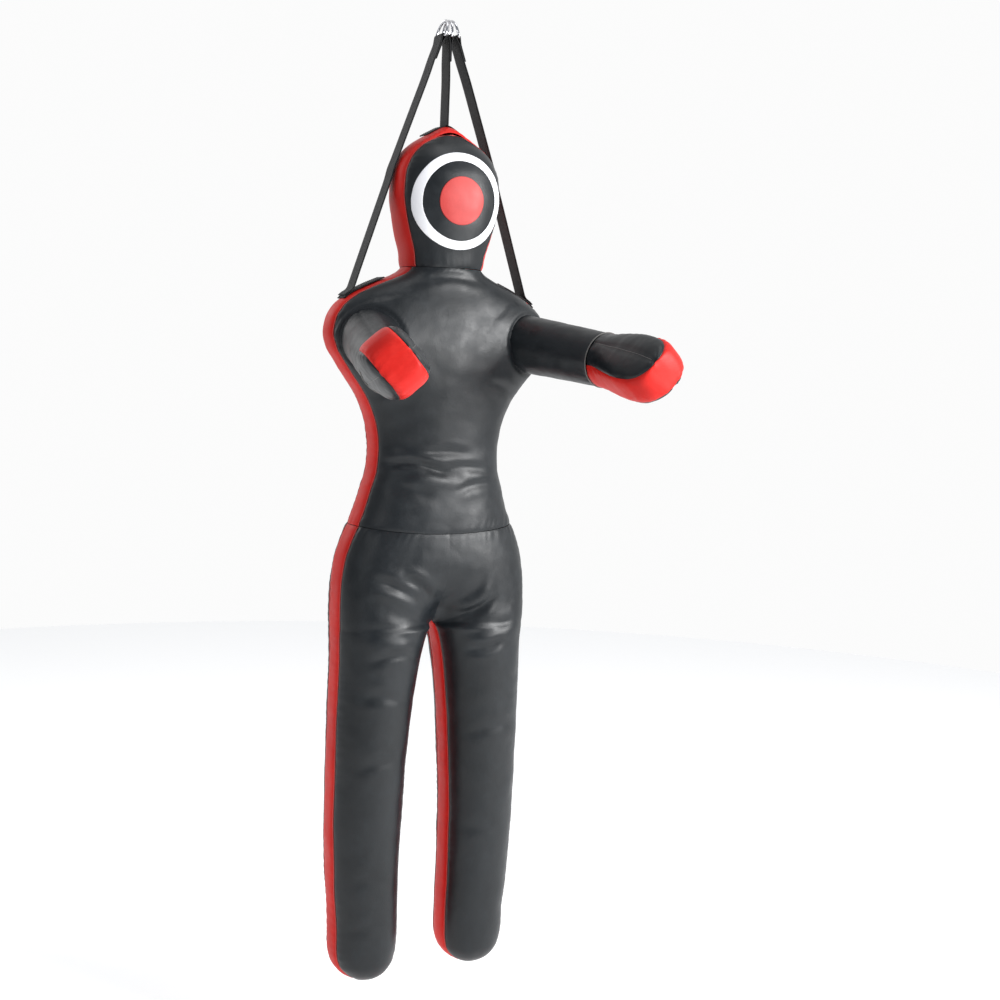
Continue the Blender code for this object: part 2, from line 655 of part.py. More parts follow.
def ring_wire(name, bar, top, group):
    """A D ring: a straight bar along Y at the bottom and an arch through the hook."""
    path = []
    rise = top - bar
    for k in range(25):
        t = math.pi * k / 24
        y = RING_HALF * math.cos(t)
        s = math.sin(t) ** 0.75
        path.append(bar + rise * s + Vector((0, y, 0)))
    path += [bar + Vector((0, -RING_HALF + 2 * RING_HALF * k / 6, 0)) for k in range(1, 6)]
    verts, faces, sides = [], [], 10
    n = len(path)
    normal = rise.cross(Vector((0, 1, 0))).normalized()
    for i, p in enumerate(path):
        ahead = (path[(i + 1) % n] - path[i - 1]).normalized()
        out = ahead.cross(normal).normalized()
        for k in range(sides):
            t = 2 * math.pi * k / sides
            verts.append(p + (out * math.cos(t) + normal * math.sin(t)) * WIRE)
    for i in range(n):
        for k in range(sides):
            a, b = i * sides + k, i * sides + (k + 1) % sides
            c, d = ((i + 1) % n) * sides + (k + 1) % sides, ((i + 1) % n) * sides + k
            faces.append((d, c, b, a))
    return add(name, verts, faces, group, (0.8, 0.8, 0.82, 1), metallic=1.0, rough=0.15)


def strap_path(bar, anchor, tail=0.050):
    """From the end of the tail, round the ring bar, and down to the anchor."""
    along = (anchor - bar).normalized()
    across = Vector((0, 1, 0))
    normal = along.cross(across).normalized()
    r = WIRE + 0.0004 + WEB_T / 2
    points = [bar + along * (tail - 0.008 * k) + normal * (r - 0.0012 * (1 if k < 4 else 0.0)) for k in range(0, 5)]
    for k in range(0, 9):
        t = math.pi * k / 8
        points.append(bar + normal * r * math.cos(t) - along * r * math.sin(t))
    flat = (WEB_T + 0.0004) / 2
    points = [bar + along * tail + normal * flat, bar + along * (tail * 0.5) + normal * flat,
              bar + along * 0.013 + normal * flat] + points[5:]
    points += [bar + along * 0.013 - normal * flat, bar + along * tail * 0.5 - normal * flat,
               bar + along * tail - normal * flat]
    return points


def shoulder_point(x, out):
    """A point on top of the shoulder band."""
    for low, high in zip(TORSO[::-1][1:], TORSO[::-1]):
        if high[1] <= x <= low[1]:
            t = (x - high[1]) / (low[1] - high[1])
            z = high[0] + (low[0] - high[0]) * t
            slope = Vector((-(low[0] - high[0]), 0, low[1] - high[1])).normalized()
            return Vector((x, 0, z)) + slope * out, slope
    return Vector((x, 0, TORSO[-1][0])), Vector((0, 0, 1))


def mirrored(vec, side):
    return Vector((vec.x * side, vec.y, vec.z))


def build_straps(group):
    y = Vector((0, 1, 0))
    for side, name in ((1, "left"), (-1, "right")):
        # An anchor strip sewn along the top of the shoulder band.
        pts = []
        for k in range(9):
            p, slope = shoulder_point(0.125 + 0.082 * k / 8, WEB_T / 2 + 0.0010)
            pts.append(mirrored(p, side))
        ribbon(f"{name}_shoulder_anchor", pts, y, group)
        foot, slope = shoulder_point(0.186, WEB_T + 0.0010 + 0.0006)
        bar = Vector((side * BAR_X, 0, -RING_H))
        target = mirrored(foot, side) + Vector((0, 0, 0.0065))
        points = strap_path(bar, Vector((side * HEAD_SIDE[0][0], 0, HEAD_SIDE[0][1])))
        tail = [foot_point(side, x) for x in (0.190, 0.196, 0.203)]
        beside = [Vector((side * x, 0, z)) for x, z in HEAD_SIDE]
        points += [bar + (beside[0] - bar) * t for t in (0.4, 0.7)] + beside
        points += [beside[-1] + (target - beside[-1]) * t for t in (0.5, 0.9, 0.97)] + [target] + tail
        ribbon(f"{name}_strap", points, y, group)
    # The crown strap comes straight down and lies over the crown of the head.
    bar = Vector((0, 0, -RING_H))
    target = Vector((0, 0, HEAD[-1][0] + WEB_T + 0.006))
    points = strap_path(bar, target)
    points += [bar + (target - bar) * t for t in (0.4, 0.6, 0.8, 0.95)]
    points += [target + Vector((-0.0005, 0, -0.0012))]
    ribbon("head_strap", points, y, group)
    pts = []
    for k in range(-5, 6):
        x = 0.0085 * k
        z = crown_z(abs(x)) + WEB_T / 2 + 0.0014
        pts.append(Vector((x, 0, z)))
    ribbon("crown_anchor", pts, y, group)


def crown_z(x):
    for low, high in zip(HEAD[::-1][1:], HEAD[::-1]):
        if high[1] <= x <= low[1]:
            t = (x - high[1]) / (low[1] - high[1])
            return high[0] + (low[0] - high[0]) * t
    return HEAD[-1][0]


def foot_point(side, x):
    p, _ = shoulder_point(x, WEB_T * 1.5 + 0.0020)
    return mirrored(p, side)


def build_rings(group):
    top = -RING_H + 0.0
    for side, name in ((1, "left"), (-1, "right"), (0, "head")):
        bar = Vector((side * BAR_X, 0, -RING_H))
        crown = Vector((side * TOP_X, 0, WIRE))
        ring_wire(f"{name}_ring", bar, crown, group)


def set_origin(obj, point):
    shift = Vector(point)
    obj.data.transform(Matrix.Translation(-shift))
    obj.location = shift


def main():
    for obj in list(bpy.data.objects):
        bpy.data.objects.remove(obj, do_unlink=True)
    group = collection("grappling_dummy")
    tools = collection("cutters", hidden=True)
    build_head(group, tools)
    build_target(group)
    torso, front = build_torso(group, tools)
    pelvis = build_pelvis(group, tools)
    pivots = {}
    for name, side in (("left", 1), ("right", -1)):
        pivots[name + "_leg"] = build_leg(name, side, group, tools, pelvis)
        root, u, elbow, u2 = build_arm(name, side, group, tools, torso, front)
        pivots[name + "_upper_arm"], pivots[name + "_forearm"] = root, elbow
        pivots[name + "_hand"] = elbow
        print("AXIS", name, [round(c, 5) for c in root], [round(c, 5) for c in u],
              [round(c, 5) for c in elbow], [round(c, 5) for c in u2])
    pin = build_zip(group)
    build_straps(group)
    build_rings(group)
    neck_c = at(HEAD, NECK_Z)[3]
    for obj in list(group.objects):
        point = None
        for key, value in pivots.items():
            if obj.name.startswith(key):
                point = value
        if obj.name.startswith(("head_filling", "head_front", "head_back", "head_gusset", "face", "crown")):
            point = Vector((0, neck_c, NECK_Z))
        if obj.name.startswith("pelvis"):
            point = Vector((0, 0, WAIST_Z))
        if obj.name in ("left_ring", "right_ring"):
            point = Vector(((1 if obj.name[0] == "l" else -1) * BAR_X, 0, -RING_H))
        if obj.name == "zipper_pull":
            point = pin
        if point is not None:
            set_origin(obj, point)
    print("PIN", [round(c, 5) for c in pin])


main()
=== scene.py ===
"""Hanging grappling dummy: leather skins, webbing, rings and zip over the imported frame."""
import json
import math

import bmesh
import bpy
import numpy as np
from mathutils import Matrix, Vector, noise

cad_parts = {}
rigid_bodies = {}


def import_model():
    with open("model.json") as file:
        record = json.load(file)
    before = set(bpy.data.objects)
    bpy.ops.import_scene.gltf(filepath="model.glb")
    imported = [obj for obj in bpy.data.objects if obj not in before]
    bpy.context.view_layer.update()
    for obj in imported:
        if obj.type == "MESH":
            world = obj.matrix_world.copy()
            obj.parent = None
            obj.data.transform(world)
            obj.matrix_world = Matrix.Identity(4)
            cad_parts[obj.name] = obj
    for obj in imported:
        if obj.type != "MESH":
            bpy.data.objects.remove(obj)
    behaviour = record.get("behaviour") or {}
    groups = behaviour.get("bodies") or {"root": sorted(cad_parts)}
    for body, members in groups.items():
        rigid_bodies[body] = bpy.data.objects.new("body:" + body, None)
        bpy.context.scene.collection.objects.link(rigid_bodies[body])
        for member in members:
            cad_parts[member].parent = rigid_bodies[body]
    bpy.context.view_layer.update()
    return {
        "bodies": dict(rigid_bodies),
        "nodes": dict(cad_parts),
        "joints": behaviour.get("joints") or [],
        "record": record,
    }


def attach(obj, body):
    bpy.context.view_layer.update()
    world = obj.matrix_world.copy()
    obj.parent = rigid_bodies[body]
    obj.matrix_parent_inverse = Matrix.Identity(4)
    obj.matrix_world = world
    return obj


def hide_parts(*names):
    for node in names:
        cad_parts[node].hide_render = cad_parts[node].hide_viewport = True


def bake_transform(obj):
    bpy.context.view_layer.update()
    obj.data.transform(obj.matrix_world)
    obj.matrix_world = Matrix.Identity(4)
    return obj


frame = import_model()
scene = bpy.context.scene

# ---- body tables, metres
# Height, half width, half depth, depth centre.
HEAD = [(-0.497, 0.084, 0.068, -0.008), (-0.47, 0.087, 0.071, -0.01),
        (-0.44, 0.095, 0.077, -0.011), (-0.4, 0.105, 0.083, -0.012),
        (-0.355, 0.1115, 0.087, -0.012), (-0.315, 0.109, 0.086, -0.01),
        (-0.285, 0.099, 0.08, -0.008), (-0.262, 0.083, 0.068, -0.006),
        (-0.244, 0.061, 0.053, -0.003), (-0.23, 0.037, 0.037, -0.001),
        (-0.2175, 0.006, 0.006, 0.0)]
TORSO = [(-1.007, 0.172, 0.095, 0.0), (-0.975, 0.16, 0.093, 0.0),
         (-0.938, 0.149, 0.09, 0.0), (-0.895, 0.137, 0.088, 0.0),
         (-0.856, 0.1345, 0.088, 0.0), (-0.82, 0.139, 0.091, 0.0),
         (-0.785, 0.15, 0.094, 0.0), (-0.755, 0.165, 0.097, 0.0),
         (-0.72, 0.19, 0.1, 0.0), (-0.69, 0.212, 0.101, 0.0),
         (-0.66, 0.232, 0.1, 0.0), (-0.632, 0.239, 0.098, 0.0),
         (-0.605, 0.235, 0.094, 0.0), (-0.58, 0.222, 0.088, -0.001),
         (-0.555, 0.194, 0.081, -0.003), (-0.535, 0.155, 0.075, -0.005),
         (-0.518, 0.115, 0.07, -0.007), (-0.505, 0.089, 0.068, -0.008),
         (-0.4985, 0.084, 0.068, -0.008)]
PELVIS = [(-1.208, 0.201, 0.096, 0.0), (-1.15, 0.201, 0.097, 0.0),
          (-1.115, 0.2, 0.098, 0.0), (-1.075, 0.196, 0.098, 0.0),
          (-1.04, 0.186, 0.097, 0.0), (-1.007, 0.172, 0.095, 0.0)]
# Height, inner side, outer side, half depth of a leg.
LEG = [(-1.899, 0.112, 0.119, 0.008), (-1.8965, 0.096, 0.135, 0.027),
       (-1.89, 0.08, 0.1505, 0.044), (-1.878, 0.0645, 0.166, 0.0565),
       (-1.86, 0.0535, 0.1775, 0.0645), (-1.835, 0.049, 0.183, 0.0675),
       (-1.8, 0.0485, 0.1845, 0.069), (-1.7, 0.0505, 0.1925, 0.073),
       (-1.56, 0.048, 0.199, 0.078), (-1.4, 0.0375, 0.1995, 0.085),
       (-1.3, 0.0265, 0.1985, 0.091), (-1.25, 0.0175, 0.199, 0.094),
       (-1.222, 0.0098, 0.2005, 0.0955), (-1.212, 0.0055, 0.201, 0.096),
       (-1.206, 0.0000, 0.201, 0.096)]
# Roundness of the sections: 2 is an ellipse, more is squarer.
POWER, LEG_POWER = 2.4, 2.2
# Widths of the red bands, and heights of the seams.
GUSSET_HEAD, GUSSET_BODY, GUSSET_LEG, GUSSET_HAND = 0.076, 0.056, 0.05, 0.066
NECK, WAIST, CROTCH, ANKLE = -0.4977, -1.0073, -1.206, -1.84
# The height over which a leg's section grows into the hips'.
HIP_RISE = 0.125
# The groin line, (x, z) from the middle outwards, where a leg starts to bend.
HIP_START, HIP_END = (0.0, -1.208), (0.05, -1.3)
# Outward and downward angles of the upper arm, then of the forearm, and the turn of the hand.
ARM_ANGLES = {"left": (27, 8, 3, 6), "right": (12, 14, 20, -2)}
HAND_ROLL = 42
ARM_ROOT, ARM_REACH, ARM_R, ELBOW_R = (0.163, -0.045, -0.638), 0.21, 0.058, 0.054
HAND_REACH = 0.2
# Webbing: width, thickness, columns of points, the folded tail, half the gap inside a fold.
WEB_W, WEB_T, WEB_COLUMNS, TAIL = 0.038, 0.0024, 12, 0.05
FOLD = (WEB_T + 0.0003) / 2
STITCH_Y, STITCH_SIDES = 0.0165, 6
# Rings: wire radius, height, half width, and how far the bars and the tops stand apart.
WIRE, RING_H, RING_HALF, BAR_X, TOP_X = 0.0028, 0.031, 0.0225, 0.0155, 0.0062
TARGET_Z = -0.366
# Where a side strap passes the head, (x, z).
HEAD_SIDE = [(0.104, -0.28), (0.1125, -0.303), (0.1195, -0.33)]
ZIP_HALF, ZIP_TOP, ZIP_LOW = 0.0185, -0.606, -0.894
SIDES = (("left", 1), ("right", -1))
# How full the padded pieces are.
BODY_FILL, ARM_FILL = 0.9, 0.85
# Bodies that share a skin, and the line along which it passes from one to the other.
NECK_BLEND = ("torso", "head", (0, -0.008, -0.505), (0, -0.008, -0.425))
WAIST_BLEND = ("torso", "pelvis", (0, 0, -0.79), (0, 0, -0.97))


# ---- small maths

def spline(table, z):
    """Values of a table at heights z, by a monotone cubic through its rows."""
    t = np.array(table, float)
    x, y = t[:, 0], t[:, 1:]
    z = np.clip(np.asarray(z, float), x[0], x[-1])
    h = np.diff(x)[:, None]
    s = np.diff(y, axis=0) / h
    m = np.zeros_like(y)
    m[0], m[-1] = s[0], s[-1]
    same = s[:-1] * s[1:] > 0
    w1, w2 = 2 * h[1:] + h[:-1], h[1:] + 2 * h[:-1]
    with np.errstate(divide="ignore", invalid="ignore"):
        mid = (w1 + w2) / (w1 / s[:-1] + w2 / s[1:])
    m[1:-1] = np.where(same, mid, 0.0)
    i = np.clip(np.searchsorted(x, z, side="right") - 1, 0, len(x) - 2)
    u = ((z - x[i]) / h[i, 0])[..., None]
    y0, y1, d = y[i], y[i + 1], h[i]
    out = ((1 + 2 * u) * (1 - u) ** 2 * y0 + u * (1 - u) ** 2 * d * m[i]
           + u * u * (3 - 2 * u) * y1 + u * u * (u - 1) * d * m[i + 1])
    return [out[..., k] for k in range(out.shape[-1])]


def step(x, low, high):
    """A smooth rise from 0 at low to 1 at high."""
    t = np.clip((x - low) / (high - low), 0, 1)
    return t * t * (3 - 2 * t)


def power_at(z):
    """Roundness of the trunk: the hips grow squarer downwards."""
    return POWER + np.clip((-1.03 - z) / 0.16, 0, 1) ** 1.2


def root(value, power):
    return np.clip(value, 0, None) ** (1 / power)


def signed(value, power):
    """A power that keeps the sign."""
    return np.sign(value) * np.abs(value) ** power


def spread(count, edge=0.55):
    """0..1, closer together towards both ends."""
    k = np.linspace(0, 1, count)
    return (1 - edge) * k + edge * (0.5 - 0.5 * np.cos(np.pi * k))


def heights(low, high, pitch, seams=()):
    """Heights from low to high, with extra ones round each seam."""
    z = list(np.linspace(low, high, max(3, int(round((high - low) / pitch)) + 1)))
    for s in seams:
        for d in (0, 0.0008, 0.0018, 0.003, 0.0045, 0.0065, 0.009):
            z += [s - d, s + d]
    z = np.array(sorted(v for v in z if low - 1e-9 <= v <= high + 1e-9))
    keep = [z[0]]
    for v in z[1:]:
        if v - keep[-1] > 0.0006:
            keep.append(v)
    keep[-1] = high
    return np.array(keep)


def wobble(p, scale, seed):
    """Smooth noise at points, the same each run."""
    shift = Vector((seed * 7.3, seed * 3.1, seed * 5.7))
    flat = p.reshape(-1, 3)
    out = np.empty(len(flat))
    for i, q in enumerate(flat):
        v = Vector(q) * scale + shift
        out[i] = noise.noise(v) + 0.5 * noise.noise(v * 2.1)
    return out.reshape(p.shape[:-1])


def grid_normals(p, wrap=False):
    """Outward normals of a grid of points (rows, columns, 3)."""
    if wrap:
        dc = np.roll(p, -1, 1) - np.roll(p, 1, 1)
    else:
        dc = np.gradient(p, axis=1)
    dr = np.gradient(p, axis=0)
    n = np.cross(dc, dr)
    return n / np.maximum(np.linalg.norm(n, axis=2, keepdims=True), 1e-12)


def along(p, axis):
    """Distance along a grid from its first row or column."""
    d = np.linalg.norm(np.diff(p, axis=axis), axis=2)
    pad = [(0, 0), (0, 0)]
    pad[axis] = (1, 0)
    return np.cumsum(np.pad(d, pad), axis=axis)


# ---- materials

def node_material(name, rough=0.45, metallic=0.0, spec=0.5):
    mat = bpy.data.materials.new(name)
    mat.use_nodes = True
    tree = mat.node_tree
    shader = tree.nodes["Principled BSDF"]
    for key, value in (("Roughness", rough), ("Metallic", metallic), ("Specular IOR Level", spec)):
        shader.inputs[key].default_value = value
    return mat, tree, shader


def coordinates(tree, kind="Object"):
    return tree.nodes.new("ShaderNodeTexCoord").outputs[kind]


def tex(tree, kind, scale, coord, **settings):
    node = tree.nodes.new(kind)
    node.inputs["Scale"].default_value = scale
    for key, value in settings.items():
        if key in node.inputs:
            node.inputs[key].default_value = value
        else:
            setattr(node, key, value)
    tree.links.new(coord, node.inputs["Vector"])
    return node


def clouds(tree, coord, scale, detail, rough=0.5):
    node = tex(tree, "ShaderNodeTexNoise", scale, coord, Detail=detail, Roughness=rough)
    return node.outputs["Fac"]


def ramp(tree, source, low, high, a=0.0, b=1.0):
    """Maps low..high to a..b."""
    node = tree.nodes.new("ShaderNodeMapRange")
    tree.links.new(source, node.inputs["Value"])
    for key, value in zip(("From Min", "From Max", "To Min", "To Max"), (low, high, a, b)):
        node.inputs[key].default_value = value
    return node.outputs["Result"]


def mix(tree, factor, a, b):
    """A blend of two colours, each a socket or three numbers."""
    node = tree.nodes.new("ShaderNodeMix")
    node.data_type = "RGBA"
    tree.links.new(factor, node.inputs["Factor"])
    for key, value in (("A", a), ("B", b)):
        socket = next(s for s in node.inputs if s.name == key and s.type == "RGBA")
        if isinstance(value, tuple):
            socket.default_value = (*value, 1)
        else:
            tree.links.new(value, socket)
    return next(s for s in node.outputs if s.type == "RGBA")


def bump(tree, height, strength, distance, normal=None):
    node = tree.nodes.new("ShaderNodeBump")
    node.inputs["Strength"].default_value = strength
    node.inputs["Distance"].default_value = distance
    tree.links.new(height, node.inputs["Height"])
    if normal is not None:
        tree.links.new(normal, node.inputs["Normal"])
    return node.outputs["Normal"]


def plug(tree, shader, tone, normal=None, gloss=None):
    """Links a colour, and a normal and a roughness if there are any, to a shader."""
    for key, socket in (("Base Color", tone), ("Roughness", gloss), ("Normal", normal)):
        if socket is not None:
            tree.links.new(socket, shader.inputs[key])


def leather(name, base, dark, light, rough, spec, grain=1.0):
    """Synthetic leather: pebbled grain, faint rubs, soft unevenness in colour and gloss."""
    mat, tree, shader = node_material(name, rough, spec=spec)
    coord = coordinates(tree)
    cells = tex(tree, "ShaderNodeTexVoronoi", 620.0, coord, feature="SMOOTH_F1").outputs["Distance"]
    fine = clouds(tree, coord, 1500.0, 3.0)
    pores = clouds(tree, coord, 260.0, 4.0, 0.6)
    broad = clouds(tree, coord, 7.0, 5.0, 0.55)
    patch = clouds(tree, coord, 38.0, 4.0, 0.6)
    tone = mix(tree, ramp(tree, broad, 0.35, 0.68), dark, base)
    tone = mix(tree, ramp(tree, patch, 0.5, 0.78, 0.0, 0.55), tone, light)
    tone = mix(tree, ramp(tree, cells, 0.45, 0.95, 0.0, 0.35), tone, dark)
    gloss = ramp(tree, patch, 0.3, 0.75, rough - 0.05, rough + 0.1)
    normal = bump(tree, cells, 0.22 * grain, 0.0004)
    normal = bump(tree, fine, 0.1 * grain, 0.0003, normal)
    normal = bump(tree, pores, 0.16 * grain, 0.0006, normal)
    normal = bump(tree, patch, 0.1, 0.003, normal)
    plug(tree, shader, tone, normal, gloss)
    return mat


def webbing(name, colour, light, ribs=1.0):
    """Woven nylon: ribs across and along the strap, from its UVs in metres."""
    mat, tree, shader = node_material(name, 0.66, spec=0.3)
    coord = coordinates(tree, "UV")
    warp = tex(tree, "ShaderNodeTexWave", 105.0, coord, bands_direction="X")
    weft = tex(tree, "ShaderNodeTexWave", 125.0, coord, bands_direction="Y", Distortion=0.6)
    fuzz = clouds(tree, coord, 1400.0, 3.0)
    wear = clouds(tree, coord, 60.0, 4.0)
    both = tree.nodes.new("ShaderNodeMath")
    both.operation = "MULTIPLY"
    tree.links.new(warp.outputs["Fac"], both.inputs[0])
    tree.links.new(weft.outputs["Fac"], both.inputs[1])
    weave = both.outputs[0]
    tone = mix(tree, ramp(tree, weave, 0.1, 0.9), colour, light)
    tone = mix(tree, ramp(tree, wear, 0.45, 0.8, 0.0, 0.5), tone, colour)
    normal = bump(tree, weave, 0.75 * ribs, 0.0007)
    plug(tree, shader, tone, bump(tree, fuzz, 0.25, 0.0003, normal))
    shader.inputs["Sheen Weight"].default_value = 0.08
    shader.inputs["Sheen Roughness"].default_value = 0.4
    return mat


def steel(name, colour, rough):
    """Plated metal with faint smears."""
    mat, tree, shader = node_material(name, rough, metallic=1.0)
    coord = coordinates(tree)
    smear = clouds(tree, coord, 160.0, 5.0)
    fine = clouds(tree, coord, 900.0, 2.0)
    tone = mix(tree, ramp(tree, smear, 0.4, 0.7), colour, tuple(c * 0.86 for c in colour))
    gloss = ramp(tree, smear, 0.3, 0.7, rough - 0.03, rough + 0.08)
    plug(tree, shader, tone, bump(tree, fine, 0.04, 0.0002), gloss)
    return mat


def speckled(name, rough, scale, dark, light, strength=0.0):
    """Thread or moulded plastic in two close tones."""
    mat, tree, shader = node_material(name, rough)
    speck = clouds(tree, coordinates(tree), scale, 2.0)
    tone = mix(tree, speck, dark, light)
    plug(tree, shader, tone, bump(tree, speck, strength, 0.0003) if strength else None)
    return mat


BLACK = leather("black_leather", (0.008, 0.0105, 0.013), (0.004, 0.0058, 0.0074),
                (0.013, 0.017, 0.0205), 0.4, 0.38)
RED = leather("red_leather", (0.62, 0.016, 0.01), (0.5, 0.011, 0.008),
              (0.68, 0.028, 0.02), 0.46, 0.2)
WHITE = leather("target_white", (0.86, 0.86, 0.88), (0.8, 0.8, 0.83),
                (0.9, 0.9, 0.91), 0.45, 0.3, 0.5)
DISC = leather("target_red", (0.5, 0.05, 0.045), (0.44, 0.04, 0.036),
               (0.55, 0.066, 0.06), 0.45, 0.3, 0.5)
# Pale piping for the elbow seam; the same pale colour, on a cord down the hands' seams, is a
# painted highlight.
PIPING_AND_HIGHLIGHT = leather("pale_piping_and_seam_highlight", (0.16, 0.15, 0.14), (0.1, 0.1, 0.1), (0.22, 0.21, 0.2), 0.5, 0.3)
WELT = leather("red_welt", (0.55, 0.06, 0.05), (0.44, 0.04, 0.034),
               (0.62, 0.1, 0.085), 0.45, 0.3, 0.5)
WEB = webbing("strap_webbing", (0.002, 0.0021, 0.0024), (0.01, 0.0105, 0.012))
TAPE = webbing("zip_tape", (0.004, 0.004, 0.0045), (0.014, 0.0145, 0.016), 0.5)
CHROME = steel("ring_chrome", (0.6, 0.6, 0.62), 0.12)
NICKEL = steel("zip_nickel", (0.4, 0.4, 0.4), 0.26)
THREAD = speckled("thread", 0.7, 2200.0, (0.018, 0.018, 0.02), (0.06, 0.06, 0.064), 0.4)
COIL = speckled("zip_coil", 0.45, 300.0, (0.016, 0.016, 0.017), (0.034, 0.034, 0.036))


# ---- mesh helpers

def put(obj):
    scene.collection.objects.link(obj)
    return obj


def mesh_object(name, verts, faces, mat, uvs=None, smooth=True):
    mesh = bpy.data.meshes.new(name)
    mesh.from_pydata([tuple(map(float, v)) for v in verts], [], faces)
    mesh.materials.append(mat)
    if uvs is not None:
        layer = mesh.uv_layers.new(name="UVMap")
        index = np.empty(len(mesh.loops), np.int32)
        mesh.loops.foreach_get("vertex_index", index)
        layer.data.foreach_set("uv", np.asarray(uvs, np.float32)[index].ravel())
    mesh.polygons.foreach_set("use_smooth", np.full(len(mesh.polygons), smooth))
    mesh.update()
    return put(bpy.data.objects.new(name, mesh))


def sheet_mesh(name, p, mat, wrap=False):
    """A smooth surface through a grid of points."""
    rows, cols = p.shape[:2]
    uv = np.stack([along(p, 1), along(p, 0)], axis=2).reshape(-1, 2)
    i = np.arange(rows - 1)[:, None] * cols
    k = np.arange(cols if wrap else cols - 1)[None, :]
    n = (k + 1) % cols
    quads = np.stack([i + k, i + n, i + cols + n, i + cols + k], axis=2).reshape(-1, 4)
    return mesh_object(name, p.reshape(-1, 3), quads.tolist(), mat, uv)


def ring_faces(count, sides, start=0, closed=False, caps=True):
    """Faces from each ring of points to the next, with flat caps unless the line is closed."""
    faces = []
    for i in range(count if closed else count - 1):
        here, there = start + i * sides, start + (i + 1) % count * sides
        for k in range(sides):
            m = (k + 1) % sides
            faces.append((here + k, here + m, there + m, there + k))
    if caps and not closed:
        last = start + (count - 1) * sides
        faces += [tuple(start + k for k in reversed(range(sides))),
                  tuple(last + k for k in range(sides))]
    return faces


def weld(obj, distance=0.00005):
    bm = bmesh.new()
    bm.from_mesh(obj.data)
    bmesh.ops.remove_doubles(bm, verts=bm.verts, dist=distance)
    bmesh.ops.dissolve_degenerate(bm, edges=bm.edges, dist=distance)
    bm.to_mesh(obj.data)
    bm.free()
    for f in obj.data.polygons:
        f.use_smooth = True
    return obj


def tube(name, path, radius, mat, sides, closed=False, side=None):
    """A round cord along points."""
    path = [Vector(p) for p in path]
    n = len(path)
    verts = []
    for i, p in enumerate(path):
        a = path[(i + 1) % n] if closed or i < n - 1 else path[i]
        b = path[i - 1] if closed or i > 0 else path[i]
        ahead = (a - b).normalized()
        if side is None:
            side = ahead.orthogonal().normalized()
        side = (side - ahead * side.dot(ahead)).normalized()
        up = ahead.cross(side)
        for k in range(sides):
            t = 2 * math.pi * k / sides
            verts.append(p + side * (radius * math.cos(t)) + up * (radius * math.sin(t)))
    return mesh_object(name, verts, ring_faces(n, sides, closed=closed), mat)


def dress(obj, nodes=(), ride=None, blend=None, fill=None):
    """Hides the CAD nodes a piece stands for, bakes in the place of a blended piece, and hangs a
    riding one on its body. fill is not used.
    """
    if nodes:
        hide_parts(*nodes)
    if blend:
        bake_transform(obj)
    if ride:
        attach(obj, ride)


# ---- relief of the leather

ALL_EDGES = ("left", "right", "low", "high")
SEAM_DEPTH, SEAM_WIDTH = 0.0026, 0.0045
PUCKER_PITCH, PUCKER_HEIGHT, PUCKER_REACH = 0.017, 0.0007, 0.017
ARM_SEAM_DEPTH, ARM_SEAM_WIDTH = 0.0022, 0.004
ARM_PUCKER_PITCH, ARM_PUCKER_HEIGHT, ARM_PUCKER_REACH = 0.016, 0.0008, 0.016

# Creases: x and z of the start and of the end, depth, half width, front (-1) or back (+1).
CREASES = [
    (-0.118, -0.884, -0.018, -0.894, 0.0065, 0.0084, -1),
    (-0.1, -0.903, 0.03, -0.909, 0.0031, 0.0095, -1),
    (-0.02, -0.893, 0.095, -0.897, 0.0026, 0.0088, -1),
    (-0.11, -0.93, -0.035, -0.95, 0.0026, 0.0115, -1),
    (0.02, -0.934, 0.105, -0.922, 0.0026, 0.0085, -1),
    (-0.06, -0.862, 0.05, -0.866, 0.0018, 0.008, -1),
    (-0.09, -1.103, -0.026, -1.15, 0.0073, 0.0095, -1),
    (-0.148, -1.106, -0.022, -1.172, 0.006, 0.0108, -1),
    (0.1, -1.152, 0.03, -1.186, 0.0056, 0.0101, -1),
    (0.118, -1.236, 0.062, -1.25, 0.0047, 0.0095, -1),
    (0.08, -1.108, 0.014, -1.165, 0.0034, 0.0135, -1),
    (0.15, -1.196, 0.05, -1.214, 0.0026, 0.0108, -1),
    (-0.16, -1.205, -0.05, -1.228, 0.0029, 0.0115, -1),
    (-0.15, -1.262, -0.07, -1.25, 0.0024, 0.009, -1),
    (-0.16, -1.33, -0.07, -1.345, 0.002, 0.011, -1),
    (0.07, -1.42, 0.165, -1.405, 0.002, 0.012, -1),
    (-0.165, -1.47, -0.075, -1.455, 0.0018, 0.012, -1),
    (0.075, -1.61, 0.17, -1.62, 0.0016, 0.012, -1),
    (-0.165, -1.69, -0.08, -1.7, 0.0016, 0.012, -1),
    (-0.165, -1.79, -0.08, -1.78, 0.0016, 0.011, -1),
    (-0.06, -0.915, 0.07, -0.922, 0.004, 0.0075, 1),
    (-0.1, -0.945, 0.01, -0.94, 0.0026, 0.008, 1),
    (-0.12, -1.225, -0.01, -1.205, 0.006, 0.009, 1),
    (0.12, -1.225, 0.01, -1.205, 0.006, 0.009, 1),
    (0.095, -1.17, 0.012, -1.196, 0.0032, 0.008, 1),
    (-0.095, -1.17, -0.012, -1.196, 0.0032, 0.008, 1),
    (-0.155, -1.42, -0.075, -1.43, 0.0018, 0.012, 1),
    (0.07, -1.5, 0.165, -1.49, 0.0018, 0.012, 1),
    (-0.06, -0.52, 0.055, -0.522, 0.002, 0.008, -1),
    (-0.05, -0.52, 0.055, -0.524, 0.0024, 0.008, 1),
    (0.085, -0.722, 0.15, -0.752, 0.0026, 0.009, -1),
    (-0.15, -0.752, -0.085, -0.722, 0.0026, 0.009, -1),
]


